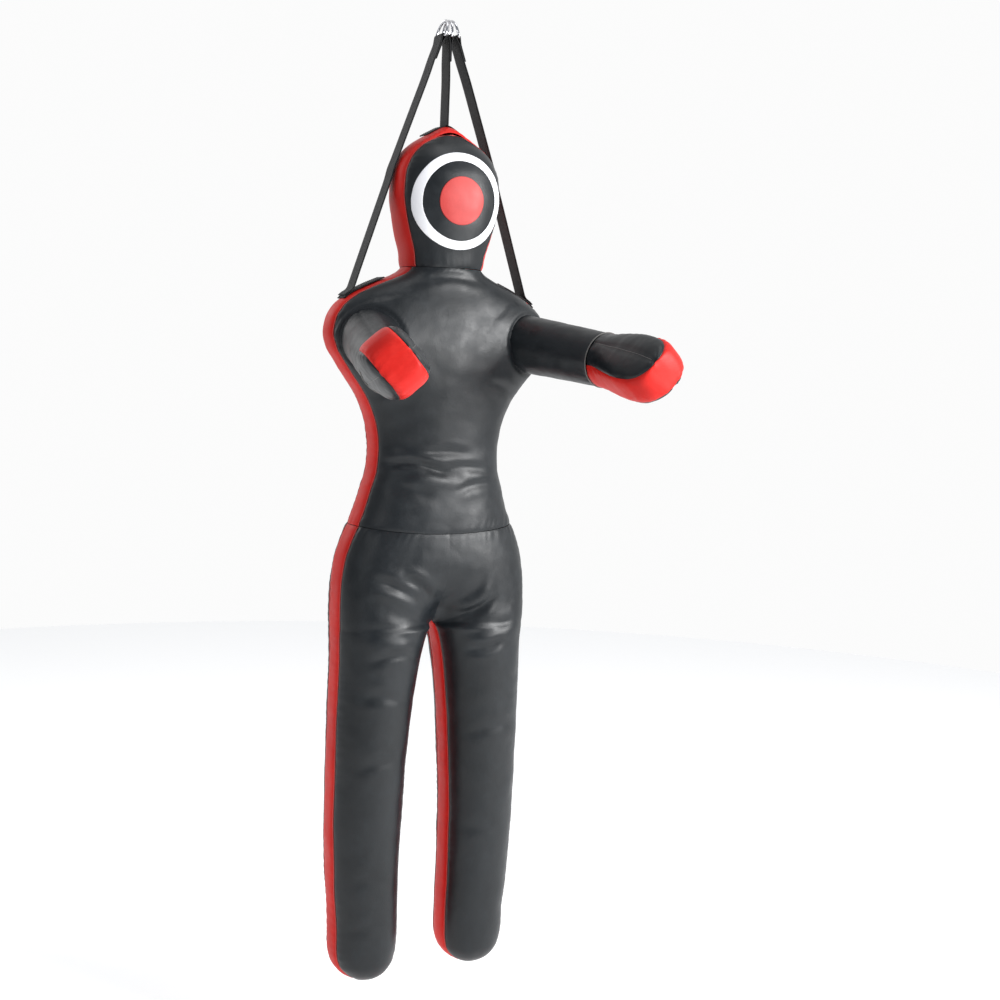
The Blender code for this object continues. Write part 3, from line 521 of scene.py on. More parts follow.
def crease_depth(p):
    """How far the creases press in the points of a surface."""
    x, y, z = p[..., 0], p[..., 1], p[..., 2]
    out = np.zeros(x.shape)
    for x0, z0, x1, z1, depth, width, face in CREASES:
        d = np.array([x1 - x0, z1 - z0])
        length = np.hypot(*d)
        d /= length
        t = (x - x0) * d[0] + (z - z0) * d[1]
        bow = 0.06 * length * np.sin(np.pi * np.clip(t / length, 0, 1))
        off = (x - x0) * -d[1] + (z - z0) * d[0] - bow
        fade = step(t, -0.02, 0.25 * length) * (1 - step(t, 0.6 * length, length + 0.02))
        side = step(y * face, -0.005, 0.03)
        lip = np.exp(-((np.abs(off) - 1.9 * width) / (1.1 * width)) ** 2)
        out += depth * fade * side * (np.exp(-(off / width) ** 2) - 0.38 * lip)
    # The hollow above the crotch, where the thighs part.
    hollow = np.exp(-((x - 0.004) / (0.018 + 0.3 * np.clip(z + 1.205, 0, 1))) ** 2)
    hollow *= step(z, -1.215, -1.175) * (1 - step(z, -1.165, -1.075)) * step(-y, 0.02, 0.06)
    return out + 0.014 * hollow


def sag(p):
    """The waist seam hangs a little lower in the middle of the front."""
    out = p.copy()
    x, y, z = p[..., 0], p[..., 1], p[..., 2]
    across = 0.012 * np.clip(1 - (x / 0.168) ** 2, 0, 1)
    out[..., 2] -= across * np.exp(-((z - WAIST) / 0.045) ** 2) * step(-y, 0.01, 0.06)
    return out


def relief(p, edges, seed, uneven=1.0, pucker=1.0, creases=True, depth=SEAM_DEPTH):
    """Presses a grid in at its seams, with puckers beside them, and adds creases and unevenness.
    edges is any of "left", "right" (first and last column), "low", "high" (first and last row)."""
    p = sag(p)
    cols, rows = along(p, 1), along(p, 0)
    # Distance from the seam, distance along it, strength.
    seams = {"left": (cols, rows, 1.0), "right": (cols[:, -1:] - cols, rows, 1.0),
             "low": (rows, cols, 0.6), "high": (rows[-1:] - rows, cols, 0.6)}
    push = np.zeros(p.shape[:2])
    for i, (d, s, size) in enumerate(seams[edge] for edge in ALL_EDGES if edge in edges):
        push -= size * depth * np.exp(-(d / SEAM_WIDTH) ** 1.3)
        phase = (2 * np.pi * s / PUCKER_PITCH + 2.2 * np.sin(s * 61 + seed)
                 + 1.7 * np.sin(s * 23 + 2 * seed + i))
        size = 0.5 + 0.5 * np.sin(s * 13.0 + seed * 1.7 + i)
        push += (pucker * PUCKER_HEIGHT * size * np.sin(phase)
                 * np.exp(-(d / PUCKER_REACH) ** 1.5) * (1 - np.exp(-d / 0.003)))
    push += uneven * (0.0016 * wobble(p, 9.0, seed) + 0.0007 * wobble(p, 24.0, seed + 5))
    if creases:
        push -= crease_depth(p)
    return p + grid_normals(p) * push[..., None]


def welt(name, line, x=0.0, y=0.0):
    """A thin rolled edge of leather standing in a seam, away from a middle at x, y."""
    out = line - np.array((x, y, 0.0))
    out[:, 2] = 0
    out /= np.maximum(np.linalg.norm(out, axis=1, keepdims=True), 1e-9)
    return tube(name, line + out * 0.0007, 0.00115, WELT, 8)


# ---- torso and head surfaces

def oval_rows(z, table, gusset, count, face, power=None):
    """Points of a front (-1) or back (+1) panel between the side seams, one row a height."""
    a, b, c = spline(table, z)
    n = power_at(z) if power is None else np.full(len(z), power)
    edge = np.clip(gusset / 2 / b, 0, 0.9999)
    start = np.arcsin(edge ** (n / 2))
    t = start[:, None] + (np.pi - 2 * start[:, None]) * spread(count)[None, :]
    m = 2 / n[:, None]
    x = a[:, None] * signed(np.cos(t), m)
    y = b[:, None] * np.abs(np.sin(t)) ** m
    if face < 0:
        x, y = -x, -y
    return np.stack([x, c[:, None] + y, np.broadcast_to(z[:, None], x.shape)], axis=2)


def band_rows(z, table, gusset, side):
    """Points of a side band, side +1 for +X."""
    a, b, c = spline(table, z)
    n = power_at(z)[:, None]
    v = gusset / 2 * (2 * spread(15, 0.7) - 1)[None, :] * np.ones((len(z), 1))
    x = a[:, None] * root(1 - (np.abs(v) / b[:, None]) ** n, n)
    p = np.stack([side * x, c[:, None] + v, np.broadcast_to(z[:, None], x.shape)], axis=2)
    return p if side > 0 else p[:, ::-1]


def arm_frame(outward, down, side):
    """Directions across, up and along an arm, from its angles."""
    o, d = math.radians(outward), math.radians(down)
    w = Vector((side * math.sin(o) * math.cos(d), -math.cos(o) * math.cos(d), -math.sin(d)))
    v = (Vector((0, 0, 1)) - w * w.z).normalized()
    return v.cross(w).normalized(), v, w


def fit_roots(p):
    """Lifts the torso towards each arm, so that the sleeve grows out of it."""
    out = p.copy()
    for name, side in SIDES:
        o = np.array((side * ARM_ROOT[0], ARM_ROOT[1], ARM_ROOT[2]))
        w = np.array(arm_frame(*ARM_ANGLES[name][:2], side)[2])
        q = out - o
        s = q @ w
        d = np.linalg.norm(q - s[..., None] * w, axis=2)
        push = 0.008 * np.exp(-np.clip(d - ARM_R, 0, None) / 0.018) * (s > 0)
        sink = 0.0075 * np.exp(-((d - ARM_R) / 0.005) ** 2) * (s > 0)
        out += w * (push - sink)[..., None]
    return out


def dress_all(part, skins, edges, blend, y=0.0):
    """Dresses the skins of a part, and stands a welt in each of its edges."""
    for obj, nodes in skins:
        dress(obj, nodes, blend=blend, fill=BODY_FILL)
    for label, line in edges:
        dress(welt(f"{part}_welt_{label}", line, y=y), blend=blend)


def build_torso():
    foot = TORSO[0][0] + 0.0006
    z = heights(foot, NECK, 0.0042, (foot, NECK))
    p = relief(fit_roots(oval_rows(z, TORSO, GUSSET_BODY, 112, -1)), ALL_EDGES, 1)
    made = [(sheet_mesh("torso_front_skin", p, BLACK), ("torso_front_panel", "torso_filling"))]
    edges = [("front_a", p[:, 0]), ("front_b", p[:, -1])]

    # The back is two panels that stop at the zip, and meet above and below it.
    full = oval_rows(z, TORSO, GUSSET_BODY, 101, 1)
    half = full.shape[1] // 2
    for name, side in SIDES:
        part = full[:, :half + 1].copy() if side > 0 else full[:, half:].copy()
        zz = part[..., 2]
        gap = np.where((zz < ZIP_TOP) & (zz > ZIP_LOW), ZIP_HALF - 0.008, 0.0004)
        ends = step(zz, ZIP_LOW, ZIP_LOW + 0.012) * (1 - step(zz, ZIP_TOP - 0.012, ZIP_TOP))
        width = np.abs(part[..., 0])
        part[..., 0] = side * (width + (gap * ends + 0.0004) * np.clip(1 - width / 0.05, 0, 1))
        p = relief(part, ALL_EDGES, 2 + (side < 0), depth=0.0022)
        skin = sheet_mesh(f"torso_back_skin_{name}", p, BLACK)
        made.append((skin, (f"torso_back_panel_{name}",)))
        edges.append((f"back_{name}", p[:, 0 if side > 0 else -1]))
    for name, side in SIDES:
        p = relief(band_rows(z, TORSO, GUSSET_BODY, side), ALL_EDGES, 4 + side)
        made.append((sheet_mesh(f"torso_side_band_{name}", p, RED), (f"torso_gusset_{name}",)))
    dress_all("torso", made, edges, WAIST_BLEND)


def crown_peak(p):
    """The crown is drawn up to where its strap is sewn."""
    r2 = (p[..., 0] / 0.03) ** 2 + ((p[..., 1] + 0.022) / 0.03) ** 2
    out = p.copy()
    out[..., 2] += 0.0085 * np.exp(-r2)
    return out


def build_head():
    foot, top = HEAD[0][0], HEAD[-1][0]
    fine = np.linspace(foot, top, 400)
    deep = spline(HEAD, fine)[1]
    high = fine[np.where(deep > GUSSET_HEAD / 2 + 0.0004)[0][-1]]
    rise = 1 - (1 - np.linspace(0, 1, 84)) ** 1.6
    z = foot + (high - foot) * rise
    z = np.unique(np.concatenate([z, foot + np.array([0.0008, 0.0018, 0.003, 0.0045])]))
    made, edges = [], []
    for face, name, seed in ((-1, "front", 7), (1, "back", 8)):
        p = oval_rows(z, HEAD, GUSSET_HEAD, 80, face, POWER)
        p = relief(p, ("left", "right", "low"), seed, uneven=0.55, pucker=0.8)
        nodes = (f"head_{name}_panel",) + (("head_filling",) if face < 0 else ())
        made.append((weld(sheet_mesh(f"head_{name}_skin", p, BLACK)), nodes))
        # Up one side of the panel, over its top and down the other.
        line = np.concatenate([p[:-1, 0], p[-1:, p.shape[1] // 2], p[:-1, -1][::-1]])
        edges.append((name, line))

    # The band runs from one side of the neck over the crown to the other.
    steps = 62
    v = GUSSET_HEAD / 2 * (2 * spread(19, 0.6) - 1)
    tops = np.interp(np.abs(v), deep[::-1], fine[::-1])
    way = np.arange(2 * steps + 1)
    rise = 1 - np.abs(way - steps) / steps
    zz = foot + (tops[None, :] - foot) * np.sin(rise * np.pi / 2)[:, None]
    a, b, c = spline(HEAD, zz)
    x = a * root(1 - (np.abs(v)[None, :] / b) ** POWER, POWER)
    x[steps] = 0
    sign = np.where(way < steps, 1.0, -1.0)[:, None]
    p = np.stack([sign * x, c + v[None, :], zz], axis=2)
    p = relief(crown_peak(p), ALL_EDGES, 9, uneven=0.6)
    made.append((weld(sheet_mesh("head_band", p, RED)), ("head_gusset",)))
    dress_all("head", made, edges, NECK_BLEND, -0.01)


def face_y(x, z):
    a, b, c = spline(HEAD, z)
    return c - b * root(1 - (np.abs(x) / a) ** POWER, POWER)


def build_target():
    """A white ring and a red disc, thin appliques on the face."""
    t = np.linspace(0, 2 * np.pi, 145)[:-1]
    for name, inner, outer, count, mat, node in (
            ("face_ring", 0.0785, 0.0955, 14, WHITE, "face_target_ring"),
            ("face_disc", 0.0002, 0.0475, 20, DISC, "face_target_disc")):
        r = np.concatenate([[inner], inner + (outer - inner) * spread(count), [outer]])
        lift = np.full(len(r), 0.0013)
        lift[-1] = -0.0004
        if mat is WHITE:
            lift[0] = -0.0004
        rr, tt = np.meshgrid(r, t, indexing="ij")
        x, z = rr * np.sin(tt), TARGET_Z + rr * np.cos(tt)
        p = np.stack([x, face_y(x, z) - lift[:, None], z], axis=2)
        p[..., 1] -= 0.0016 * 0.55 * wobble(p, 9.0, 7) + 0.0007 * 0.55 * wobble(p, 24.0, 12)
        obj = sheet_mesh(name, p, mat, wrap=True)
        obj.data.flip_normals()
        dress(weld(obj), (node,), blend=NECK_BLEND)


# ---- hips and legs

def leg_section(z, t, side, back):
    """Points of a half of the trousers: t runs 0 on the outside to pi on the inside."""
    inner, outer, b_leg = spline(LEG, z)
    c, a = (inner + outer) / 2, (outer - inner) / 2
    m = 2 / LEG_POWER
    lx = c + a * signed(np.cos(t), m)
    ly = b_leg * np.abs(np.sin(t)) ** m
    pa, pb, _ = spline(PELVIS, z)
    n = power_at(z)
    px = pa * np.abs(np.cos(t / 2)) ** (2 / n)
    py = pb * np.abs(np.sin(t / 2)) ** (2 / n)
    h = np.clip((z - CROTCH) / HIP_RISE, 0, 1)
    s = np.sqrt(np.clip(1 - (1 - h) ** 2, 0, 1))
    x, y = lx + (px - lx) * s, ly + (py - ly) * s
    return side * x, (y if back else -y)


def seam_angle(z, width, inside):
    """The angle at which a section crosses the edge of a band, inside or outside."""
    t = np.linspace(0, np.pi, 721)
    _, y = leg_section(np.full(t.shape, z), t, 1, True)
    if inside:
        y, t = y[::-1], t[::-1]
        if y[0] >= width / 2:
            return math.pi
    return float(np.interp(width / 2, y[:200], t[:200]))


def band_width(z):
    return GUSSET_LEG + (GUSSET_BODY - GUSSET_LEG) * step(z, -1.3, -1.05)


def split_at_groin(obj, side, upper_name, lower_name):
    """Cuts a trouser panel along the groin, where its leg starts to bend."""
    start = Vector((0, 0, HIP_START[1]))
    across = Vector((side * HIP_END[0], 0, HIP_END[1] - HIP_START[1]))
    parts = []
    for lower, name in ((False, upper_name), (True, lower_name)):
        bm = bmesh.new()
        bm.from_mesh(obj.data)
        bmesh.ops.bisect_plane(bm, geom=list(bm.verts) + list(bm.edges) + list(bm.faces), dist=1e-6,
                               plane_co=start, plane_no=across, clear_outer=not lower,
                               clear_inner=lower)
        mesh = obj.data.copy()
        bm.to_mesh(mesh)
        bm.free()
        for f in mesh.polygons:
            f.use_smooth = True
        parts.append(put(bpy.data.objects.new(name, mesh)))
    bpy.data.objects.remove(obj, do_unlink=True)
    return parts


def build_leg(name, side):
    """Skins, welts and band of one half of the trousers, cut at the groin."""
    bend = ("pelvis", f"{name}_leg", (0, 0, HIP_START[1]), (side * HIP_END[0], 0, HIP_END[1]))
    fine = np.linspace(LEG[0][0], -1.8, 200)
    start = fine[np.where(spline(LEG, fine)[2] > GUSSET_LEG / 2 + 0.0006)[0][0]]
    z = heights(ANKLE, WAIST, 0.0044, (WAIST,))
    toe = start + (ANKLE - start) * np.linspace(0, 1, 26)[:-1] ** 1.5
    z = np.unique(np.concatenate([toe, z]))
    t0, t1 = (np.array([seam_angle(v, band_width(v), inside) for v in z])
              for inside in (False, True))
    t = t0[:, None] + (t1 - t0)[:, None] * spread(72)[None, :]
    zz = np.broadcast_to(z[:, None], t.shape)
    above = np.clip((z - (CROTCH - 0.002)) / 0.012, 0, 1)[:, None, None]
    skins, welts = [], []
    for back, label, seed in ((False, "front", 20), (True, "back", 26)):
        x, y = leg_section(zz, t, side, back)
        p = np.stack([x, y, zz], axis=2)
        turned = (side > 0) != back
        if turned:
            p = p[:, ::-1]
        outside, inside = (-1, 0) if turned else (0, -1)
        # Above the crotch the two halves are one panel, with no seam in the middle.
        seamed = relief(p, ("left", "right", "high"), seed + side)
        plain = relief(p, ("right" if turned else "left", "high"), seed + side)
        p = seamed * (1 - above) + plain * above
        p[z > CROTCH + 0.007, inside, 0] = 0.0
        skins.append((weld(sheet_mesh(f"{name}_{label}_whole", p, BLACK)), label))
        # From the waist down the outside, round the toe and up the inside to the crotch.
        line = np.concatenate([p[::-1, outside], p[z < CROTCH - 0.003, inside]])
        apart = np.linalg.norm(np.diff(line, axis=0), axis=1) > 0.0012
        line = line[np.concatenate([[True], apart])]
        welts.append((welt(f"{name}_{label}_welt_whole", line, x=side * 0.115), label))
    for obj, label in welts:
        hip, leg = split_at_groin(obj, side, f"hip_{label}_welt_{name}", f"{name}_leg_{label}_welt")
        dress(leg, blend=bend)
        dress(hip, ride="pelvis")
    upper = []
    for obj, label in skins:
        hip, leg = split_at_groin(obj, side, f"hip_{label}_skin_{name}", f"{name}_leg_{label}_skin")
        nodes = [f"{name}_leg_{label}_panel"]
        if label == "front":
            nodes.append(f"{name}_leg_filling")
        dress(leg, nodes, blend=bend, fill=BODY_FILL)
        upper.append((hip, label))

    # One band down the outside, under the sole and up the inside to the arch at the crotch.
    uv = 2 * spread(15, 0.7) - 1
    turns = np.linspace(0, math.pi / 2, 10)[1:]
    rows = [band_row(v, uv, side, 1) for v in z[::-1]]
    rows += [band_row(start, uv, side, 1, v) for v in turns]
    rows += [band_row(start, uv, side, -1, v) for v in turns[-2::-1]]
    rows += [band_row(v, uv, side, -1) for v in z if v < CROTCH - 0.0005]
    arch = CROTCH + (0.0006 + 0.004 * np.abs(uv) ** 1.5)
    rows.append(np.stack([0 * uv, uv * band_width(CROTCH) / 2, arch], axis=1))
    p = np.array(rows)
    if side > 0:
        p = p[:, ::-1]
    p = relief(p, ("left", "right", "low"), 33 + side, creases=False)
    p[-1, :, 0] = 0.0
    band = weld(sheet_mesh(f"{name}_leg_band_whole", p, RED))
    hip, leg = split_at_groin(band, side, f"hip_band_{name}", f"{name}_leg_band")
    dress(leg, (f"{name}_leg_gusset",), blend=bend, fill=BODY_FILL)
    return upper, hip


def band_row(z, uv, side, which, turn=0.0):
    """One row across a leg's band, which +1 outside or -1 inside; turn rolls it under the toe."""
    inner, outer, b = spline(LEG, np.array([z]))
    c, a = (inner + outer) / 2, (outer - inner) / 2
    v = uv * band_width(z) / 2
    bow = root(1 - np.clip(np.abs(v) / b, 0, 1) ** LEG_POWER, LEG_POWER)
    x = c + which * a * bow * math.cos(turn)
    if which > 0:
        pa, pb, _ = spline(PELVIS, np.array([z]))
        n = power_at(np.array([z]))
        h = np.clip((z - CROTCH) / HIP_RISE, 0, 1)
        x = x + (pa * root(1 - (np.abs(v) / pb) ** n, n) - x) * math.sqrt(1 - (1 - h) ** 2)
    return np.stack([side * x, v, z - (z - LEG[0][0]) * bow * math.sin(turn)], axis=1)


def build_legs():
    hips, bands = [], []
    for name, side in SIDES:
        upper, band = build_leg(name, side)
        hips += upper
        bands.append((band, name))
    for label in ("front", "back"):
        pair = [obj for obj, what in hips if what == label]
        join(pair, f"hip_{label}_skin")
        nodes = [f"pelvis_{label}_panel"] + (["pelvis_filling"] if label == "front" else [])
        dress(pair[0], nodes, ride="pelvis", fill=BODY_FILL)
    for band, name in bands:
        dress(band, (f"pelvis_gusset_{name}",), ride="pelvis", fill=BODY_FILL)


def join(objs, name):
    """Joins pieces into the first and welds where they meet."""
    with bpy.context.temp_override(active_object=objs[0], object=objs[0], selected_objects=objs,
                                   selected_editable_objects=objs):
        bpy.ops.object.join()
    objs[0].name = name
    objs[0].data.name = name
    weld(objs[0], 0.0003)


# ---- arms

def circle_rows(stations, radii, frame, count=96):
    """Circles of points across an arm, one a station."""
    origin, u, v, w = [np.array(q) for q in frame]
    t = np.linspace(0, 2 * np.pi, count + 1)[:-1]
    return np.array([origin + np.outer(r * np.cos(t), u) + np.outer(r * np.sin(t), v) + w * s
                     for s, r in zip(stations, radii)])


def build_arm(name, side):
    out1, down1, out2, down2 = ARM_ANGLES[name]
    start = Vector((side * ARM_ROOT[0], ARM_ROOT[1], ARM_ROOT[2]))
    u, v, w = arm_frame(out1, down1, side)
    elbow = start + w * ARM_REACH
    u2, v2, w2 = arm_frame(out2, down2, side)
    mitre = (w + w2).normalized()
    upper, fore = f"{name}_upper_arm", f"{name}_forearm"

    # The sleeve: its rings slant more and more, so that the last one lies in the elbow's plane.
    s = np.concatenate([np.linspace(-0.002, 0.066, 26), np.linspace(0.07, 0.196, 34),
                        ARM_REACH - np.array([0.011, 0.008, 0.0055, 0.0038, 0.0024, 0.0012, 0])])
    p = circle_rows(s, ARM_R + (ELBOW_R - ARM_R) * s / ARM_REACH, (start, u, v, w))
    p = shear_to_plane(p, elbow, mitre, w, (s / ARM_REACH)[:, None] ** 2)
    p = arm_relief(p, 40 + side, wrap=True, middle=16 if side > 0 else 32)
    dress(sheet_mesh(f"{upper}_skin", p, BLACK, wrap=True), (f"{upper}_sleeve", f"{upper}_filling"),
          blend=("torso", upper, tuple(start + w * 0.034), tuple(start + w * 0.085)), fill=ARM_FILL)

    # Forearm and hand: two black panels and a red band round the fingertips.
    bend = (upper, fore, tuple(elbow + w2 * 0.002), tuple(elbow + w2 * 0.05))
    table = [(0.0, ELBOW_R, ELBOW_R), (0.03, ELBOW_R - 0.0005, ELBOW_R), (0.08, 0.0525, 0.0565),
             (0.13, 0.0495, 0.0605), (0.155, 0.047, 0.06), (0.172, 0.044, 0.056),
             (0.185, 0.0405, 0.049), (0.1935, 0.037, 0.04), (0.1985, 0.0342, 0.028),
             (HAND_REACH, 0.0332, 0.012)]
    s = np.concatenate([[0, 0.0012, 0.0024, 0.0038, 0.0055, 0.008], np.linspace(0.011, 0.15, 40),
                        0.15 + 0.05 * (1 - (1 - np.linspace(0, 1, 27)[1:]) ** 2)])
    thick, wide = spline(table, s)
    power = 2.0 + 1.3 * step(s, 0.015, 0.11)
    m = (2 / power)[:, None]
    roll = -side * math.radians(HAND_ROLL)
    cr, sr = math.cos(roll), math.sin(roll)
    at, across, rise, ahead = [np.array(q) for q in (elbow, u2, v2, w2)]

    def place(t):
        """Points of the forearm at the angles t round it, one row a station."""
        x = thick[:, None] * signed(np.cos(t), m)
        y = wide[:, None] * signed(np.sin(t), m)
        p = (at + (x * cr - y * sr)[..., None] * across + (x * sr + y * cr)[..., None] * rise
             + s[:, None, None] * ahead)
        return shear_to_plane(p, elbow, mitre, w2, (1 - s / HAND_REACH)[:, None] ** 3)

    edge = np.clip(GUSSET_HAND / 2 / thick, 0, 0.995)
    angle = np.arccos(edge ** (power / 2))[:, None]
    made, highlight_lines = [], []
    for part, turned in (("inner", side > 0), ("outer", side < 0)):
        turn = math.pi if turned else 0.0
        p = place(turn + angle * (2 * spread(45) - 1)[None, :])
        p = arm_relief(p, 44 + side + len(part), middle="half")
        # The middle of each black side, where a pale cord paints the highlight of its seam.
        highlight_lines.append(p[4:-12, 22])
        nodes = (f"{fore}_panel_{part}",) + ((f"{fore}_filling",) if part == "outer" else ())
        made.append((sheet_mesh(f"{fore}_skin_{part}", p, BLACK), nodes))
    cols = (math.pi / 2 - angle) * (2 * spread(21, 0.6) - 1)
    far, near = place(math.pi / 2 - cols), place(-math.pi / 2 + cols)
    cap = [far[-1] + (near[-1] - far[-1]) * f for f in (0.25, 0.5, 0.75)]
    p = arm_relief(np.concatenate([far, cap, near[::-1]])[:, ::-1], 52 + side)
    made.append((sheet_mesh(f"{name}_hand_band", p, RED), (f"{name}_hand_gusset",)))
    for obj, nodes in made:
        dress(obj, nodes, blend=bend, fill=ARM_FILL)

    # A fine pale cord down each black side paints the highlight along its seam, and a pale piping
    # lies in the elbow seam.
    for i, line in enumerate(highlight_lines):
        dress(tube(f"{name}_hand_seam_highlight_{i}", line, 0.0007, PIPING_AND_HIGHLIGHT, 6), blend=bend)
    ring = circle_rows([0.0], [ELBOW_R + 0.0002], (elbow, u, v, w))
    ring = shear_to_plane(ring, elbow, mitre, w, np.ones((1, 1)))[0]
    dress(tube(f"{name}_elbow_welt", ring, 0.0013, PIPING_AND_HIGHLIGHT, 8, True), ride=upper)


def shear_to_plane(p, at, normal, axis, weight):
    """Slides points along an axis towards a slanting plane, by a weight from 0 to 1."""
    at, normal, axis = np.array(at), np.array(normal), np.array(axis)
    lift = ((at - p) @ normal) / float(axis @ normal)
    move = (lift - (at - p) @ axis) * np.broadcast_to(weight, lift.shape)
    return p + axis * move[..., None]


def arm_relief(p, seed, wrap=False, middle=None):
    """Presses in the seams of a sleeve (wrap) or a panel; middle adds one along a column."""
    rows, cols = along(p, 0), along(p, 1)
    # Distance from the seam, distance along it, strength.
    seams = [(rows[-1:] - rows, cols, 1.0)]
    if not wrap:
        seams = [(rows, cols, 1.0)] + seams
        seams += [(cols, rows, 1.0), (cols[:, -1:] - cols, rows, 1.0)]
    if middle is not None:
        centre = cols[:, -1:] / 2 if middle == "half" else cols[:, middle:middle + 1]
        seams.append((np.abs(cols - centre), rows, 0.9))
    push = 0.0011 * wobble(p, 16.0, seed) + 0.0006 * wobble(p, 40.0, seed + 3)
    for i, (d, s, size) in enumerate(seams):
        push -= size * ARM_SEAM_DEPTH * np.exp(-(d / (ARM_SEAM_WIDTH * size)) ** 1.3)
        phase = (2 * np.pi * s / ARM_PUCKER_PITCH + 2.0 * np.sin(s * 57 + seed)
                 + 1.5 * np.sin(s * 29 + i))
        amount = ARM_PUCKER_HEIGHT * size * (0.5 + 0.5 * np.sin(s * 17 + seed + i))
        push += (amount * np.sin(phase) * np.exp(-(d / ARM_PUCKER_REACH) ** 1.4)
                 * (1 - np.exp(-d / 0.002)))
    return p + grid_normals(p, wrap) * push[..., None]


# ---- straps and rings

def lengths(points):
    """Length along a line at each of its points."""
    run = [0.0]
    for a, b in zip(points, points[1:]):
        run.append(run[-1] + (b - a).length)
    return run


def point_at(points, run, v):
    """The point at length v along a line, from the lengths at its points."""
    return Vector([np.interp(v, run, [q[k] for q in points]) for k in range(3)])


def ribbon(name, points):
    """A flat woven strap, thinner at its edges, with UVs in metres."""
    edge = [(f, 0.5 - 0.1 * abs(f) ** 8)
            for f in (2 * k / WEB_COLUMNS - 1 for k in range(WEB_COLUMNS + 1))]
    section = edge + [(f, -h) for f, h in reversed(edge)]
    verts, uv = [], []
    for i, (p, run) in enumerate(zip(points, lengths(points))):
        ahead = (points[min(i + 1, len(points) - 1)] - points[max(i - 1, 0)]).normalized()
        side = Vector((0, 1, 0))
        side = (side - ahead * side.dot(ahead)).normalized()
        up = ahead.cross(side)
        verts += [p + side * (f * WEB_W / 2) + up * (h * WEB_T) for f, h in section]
        uv += [(f * WEB_W / 2 + 0.5, run) for f, _ in section]
    obj = mesh_object(name, verts, ring_faces(len(points), len(section)), WEB, uv)
    for e in obj.data.polygons[-2:]:
        e.use_smooth = False
    return obj


def curve_points(points, count):
    """A smooth line through points, evenly spaced."""
    p = np.array([tuple(q) for q in points])
    ext = np.vstack([2 * p[0] - p[1], p, 2 * p[-1] - p[-2]])
    out = []
    for i in range(1, len(ext) - 2):
        for t in np.linspace(0, 1, 12, endpoint=False):
            a, b, c, d = ext[i - 1], ext[i], ext[i + 1], ext[i + 2]
            out.append(0.5 * (2 * b + (c - a) * t + (2 * a - 5 * b + 4 * c - d) * t * t
                              + (3 * b - a - 3 * c + d) * t ** 3))
    out.append(p[-1])
    out = np.array(out)
    s = np.concatenate([[0], np.cumsum(np.linalg.norm(np.diff(out, axis=0), axis=1))])
    at = np.linspace(0, s[-1], count)
    return [point_at(out, s, v) for v in at]


def stitches(name, path, normals, pitch=0.0042, length=0.0028, radius=0.00042):
    """A row of short thread stitches lying on a surface."""
    run = lengths(path)
    verts, faces = [], []
    place = 0.0
    while place + length < run[-1]:
        ends = [point_at(path, run, v) for v in (place, place + length / 2, place + length)]
        up = point_at(normals, run, place).normalized()
        side = (ends[2] - ends[0]).normalized().cross(up).normalized()
        faces += ring_faces(3, STITCH_SIDES, len(verts))
        for q, lift in zip(ends, (-0.0003, 0.00035, -0.0003)):
            for k in range(STITCH_SIDES):
                t = 2 * math.pi * k / STITCH_SIDES
                verts.append(q + up * (lift + radius * math.sin(t)) + side * radius * math.cos(t))
        place += pitch
    return mesh_object(name, verts, faces, THREAD)


def strap_points(bar, onward):
    """From the end of the tail, round the ring bar, and on."""
    ahead = (onward - bar).normalized()
    normal = ahead.cross(Vector((0, 1, 0))).normalized()
    r = WIRE + 0.0004 + WEB_T / 2
    away = (0.016, TAIL * 0.45, TAIL * 0.7, TAIL)
    pts = [bar + ahead * x + normal * FOLD for x in reversed(away)]
    for k in range(13):
        t = math.pi * k / 12
        pts.append(bar + normal * r * math.cos(t) - ahead * r * math.sin(t))
    return pts + [bar + ahead * x - normal * FOLD for x in away], ahead, normal


def shoulder_point(x, out):
    """A point above the top of the shoulder, and the direction out of it."""
    for low, high in zip(TORSO[::-1][1:], TORSO[::-1]):
        if high[1] <= x <= low[1]:
            t = (x - high[1]) / (low[1] - high[1])
            z = high[0] + (low[0] - high[0]) * t
            slope = Vector((-(low[0] - high[0]), 0, low[1] - high[1])).normalized()
            return Vector((x, 0, z)) + slope * out, slope
    raise ValueError("no shoulder there")


def flip(p, side):
    return Vector((p.x * side, p.y, p.z))


def between(a, b, parts):
    return [a + (b - a) * t for t in parts]


def sewn_strip(name, stitch_name, node, body, pts, ups):
    """A strip of webbing sewn down along both edges."""
    dress(ribbon(name, pts), (node,), ride=body)
    for i, y in enumerate((-STITCH_Y, STITCH_Y)):
        line = [p + u * (WEB_T / 2) + Vector((0, y, 0)) for p, u in zip(pts, ups)]
        dress(stitches(f"{stitch_name}_{i}", line, ups), ride=body)


def hang(strap, bar, onward, way, count, **follow):
    """A strap from its ring bar along a way, its tail folded back and sewn with a crossed box."""
    loop, ahead, up = strap_points(bar, onward)
    web = ribbon(f"{strap}_web", loop[:-1] + curve_points([loop[-1]] + way, count))
    dress(web, (strap,), **follow)
    base = bar + up * (FOLD + WEB_T / 2)
    y = Vector((0, 1, 0)) * 0.0145
    near, far = base + ahead * 0.018, base + ahead * 0.044
    box = [near - y, near + y, far + y, far - y]
    for k, run in enumerate((box + [box[0]], [box[0], box[2]], [box[1], box[3]])):
        obj = stitches(f"{strap}_tack_{k}", run, [up] * len(run), 0.003, 0.0021, 0.0004)
        dress(obj, ride="torso")


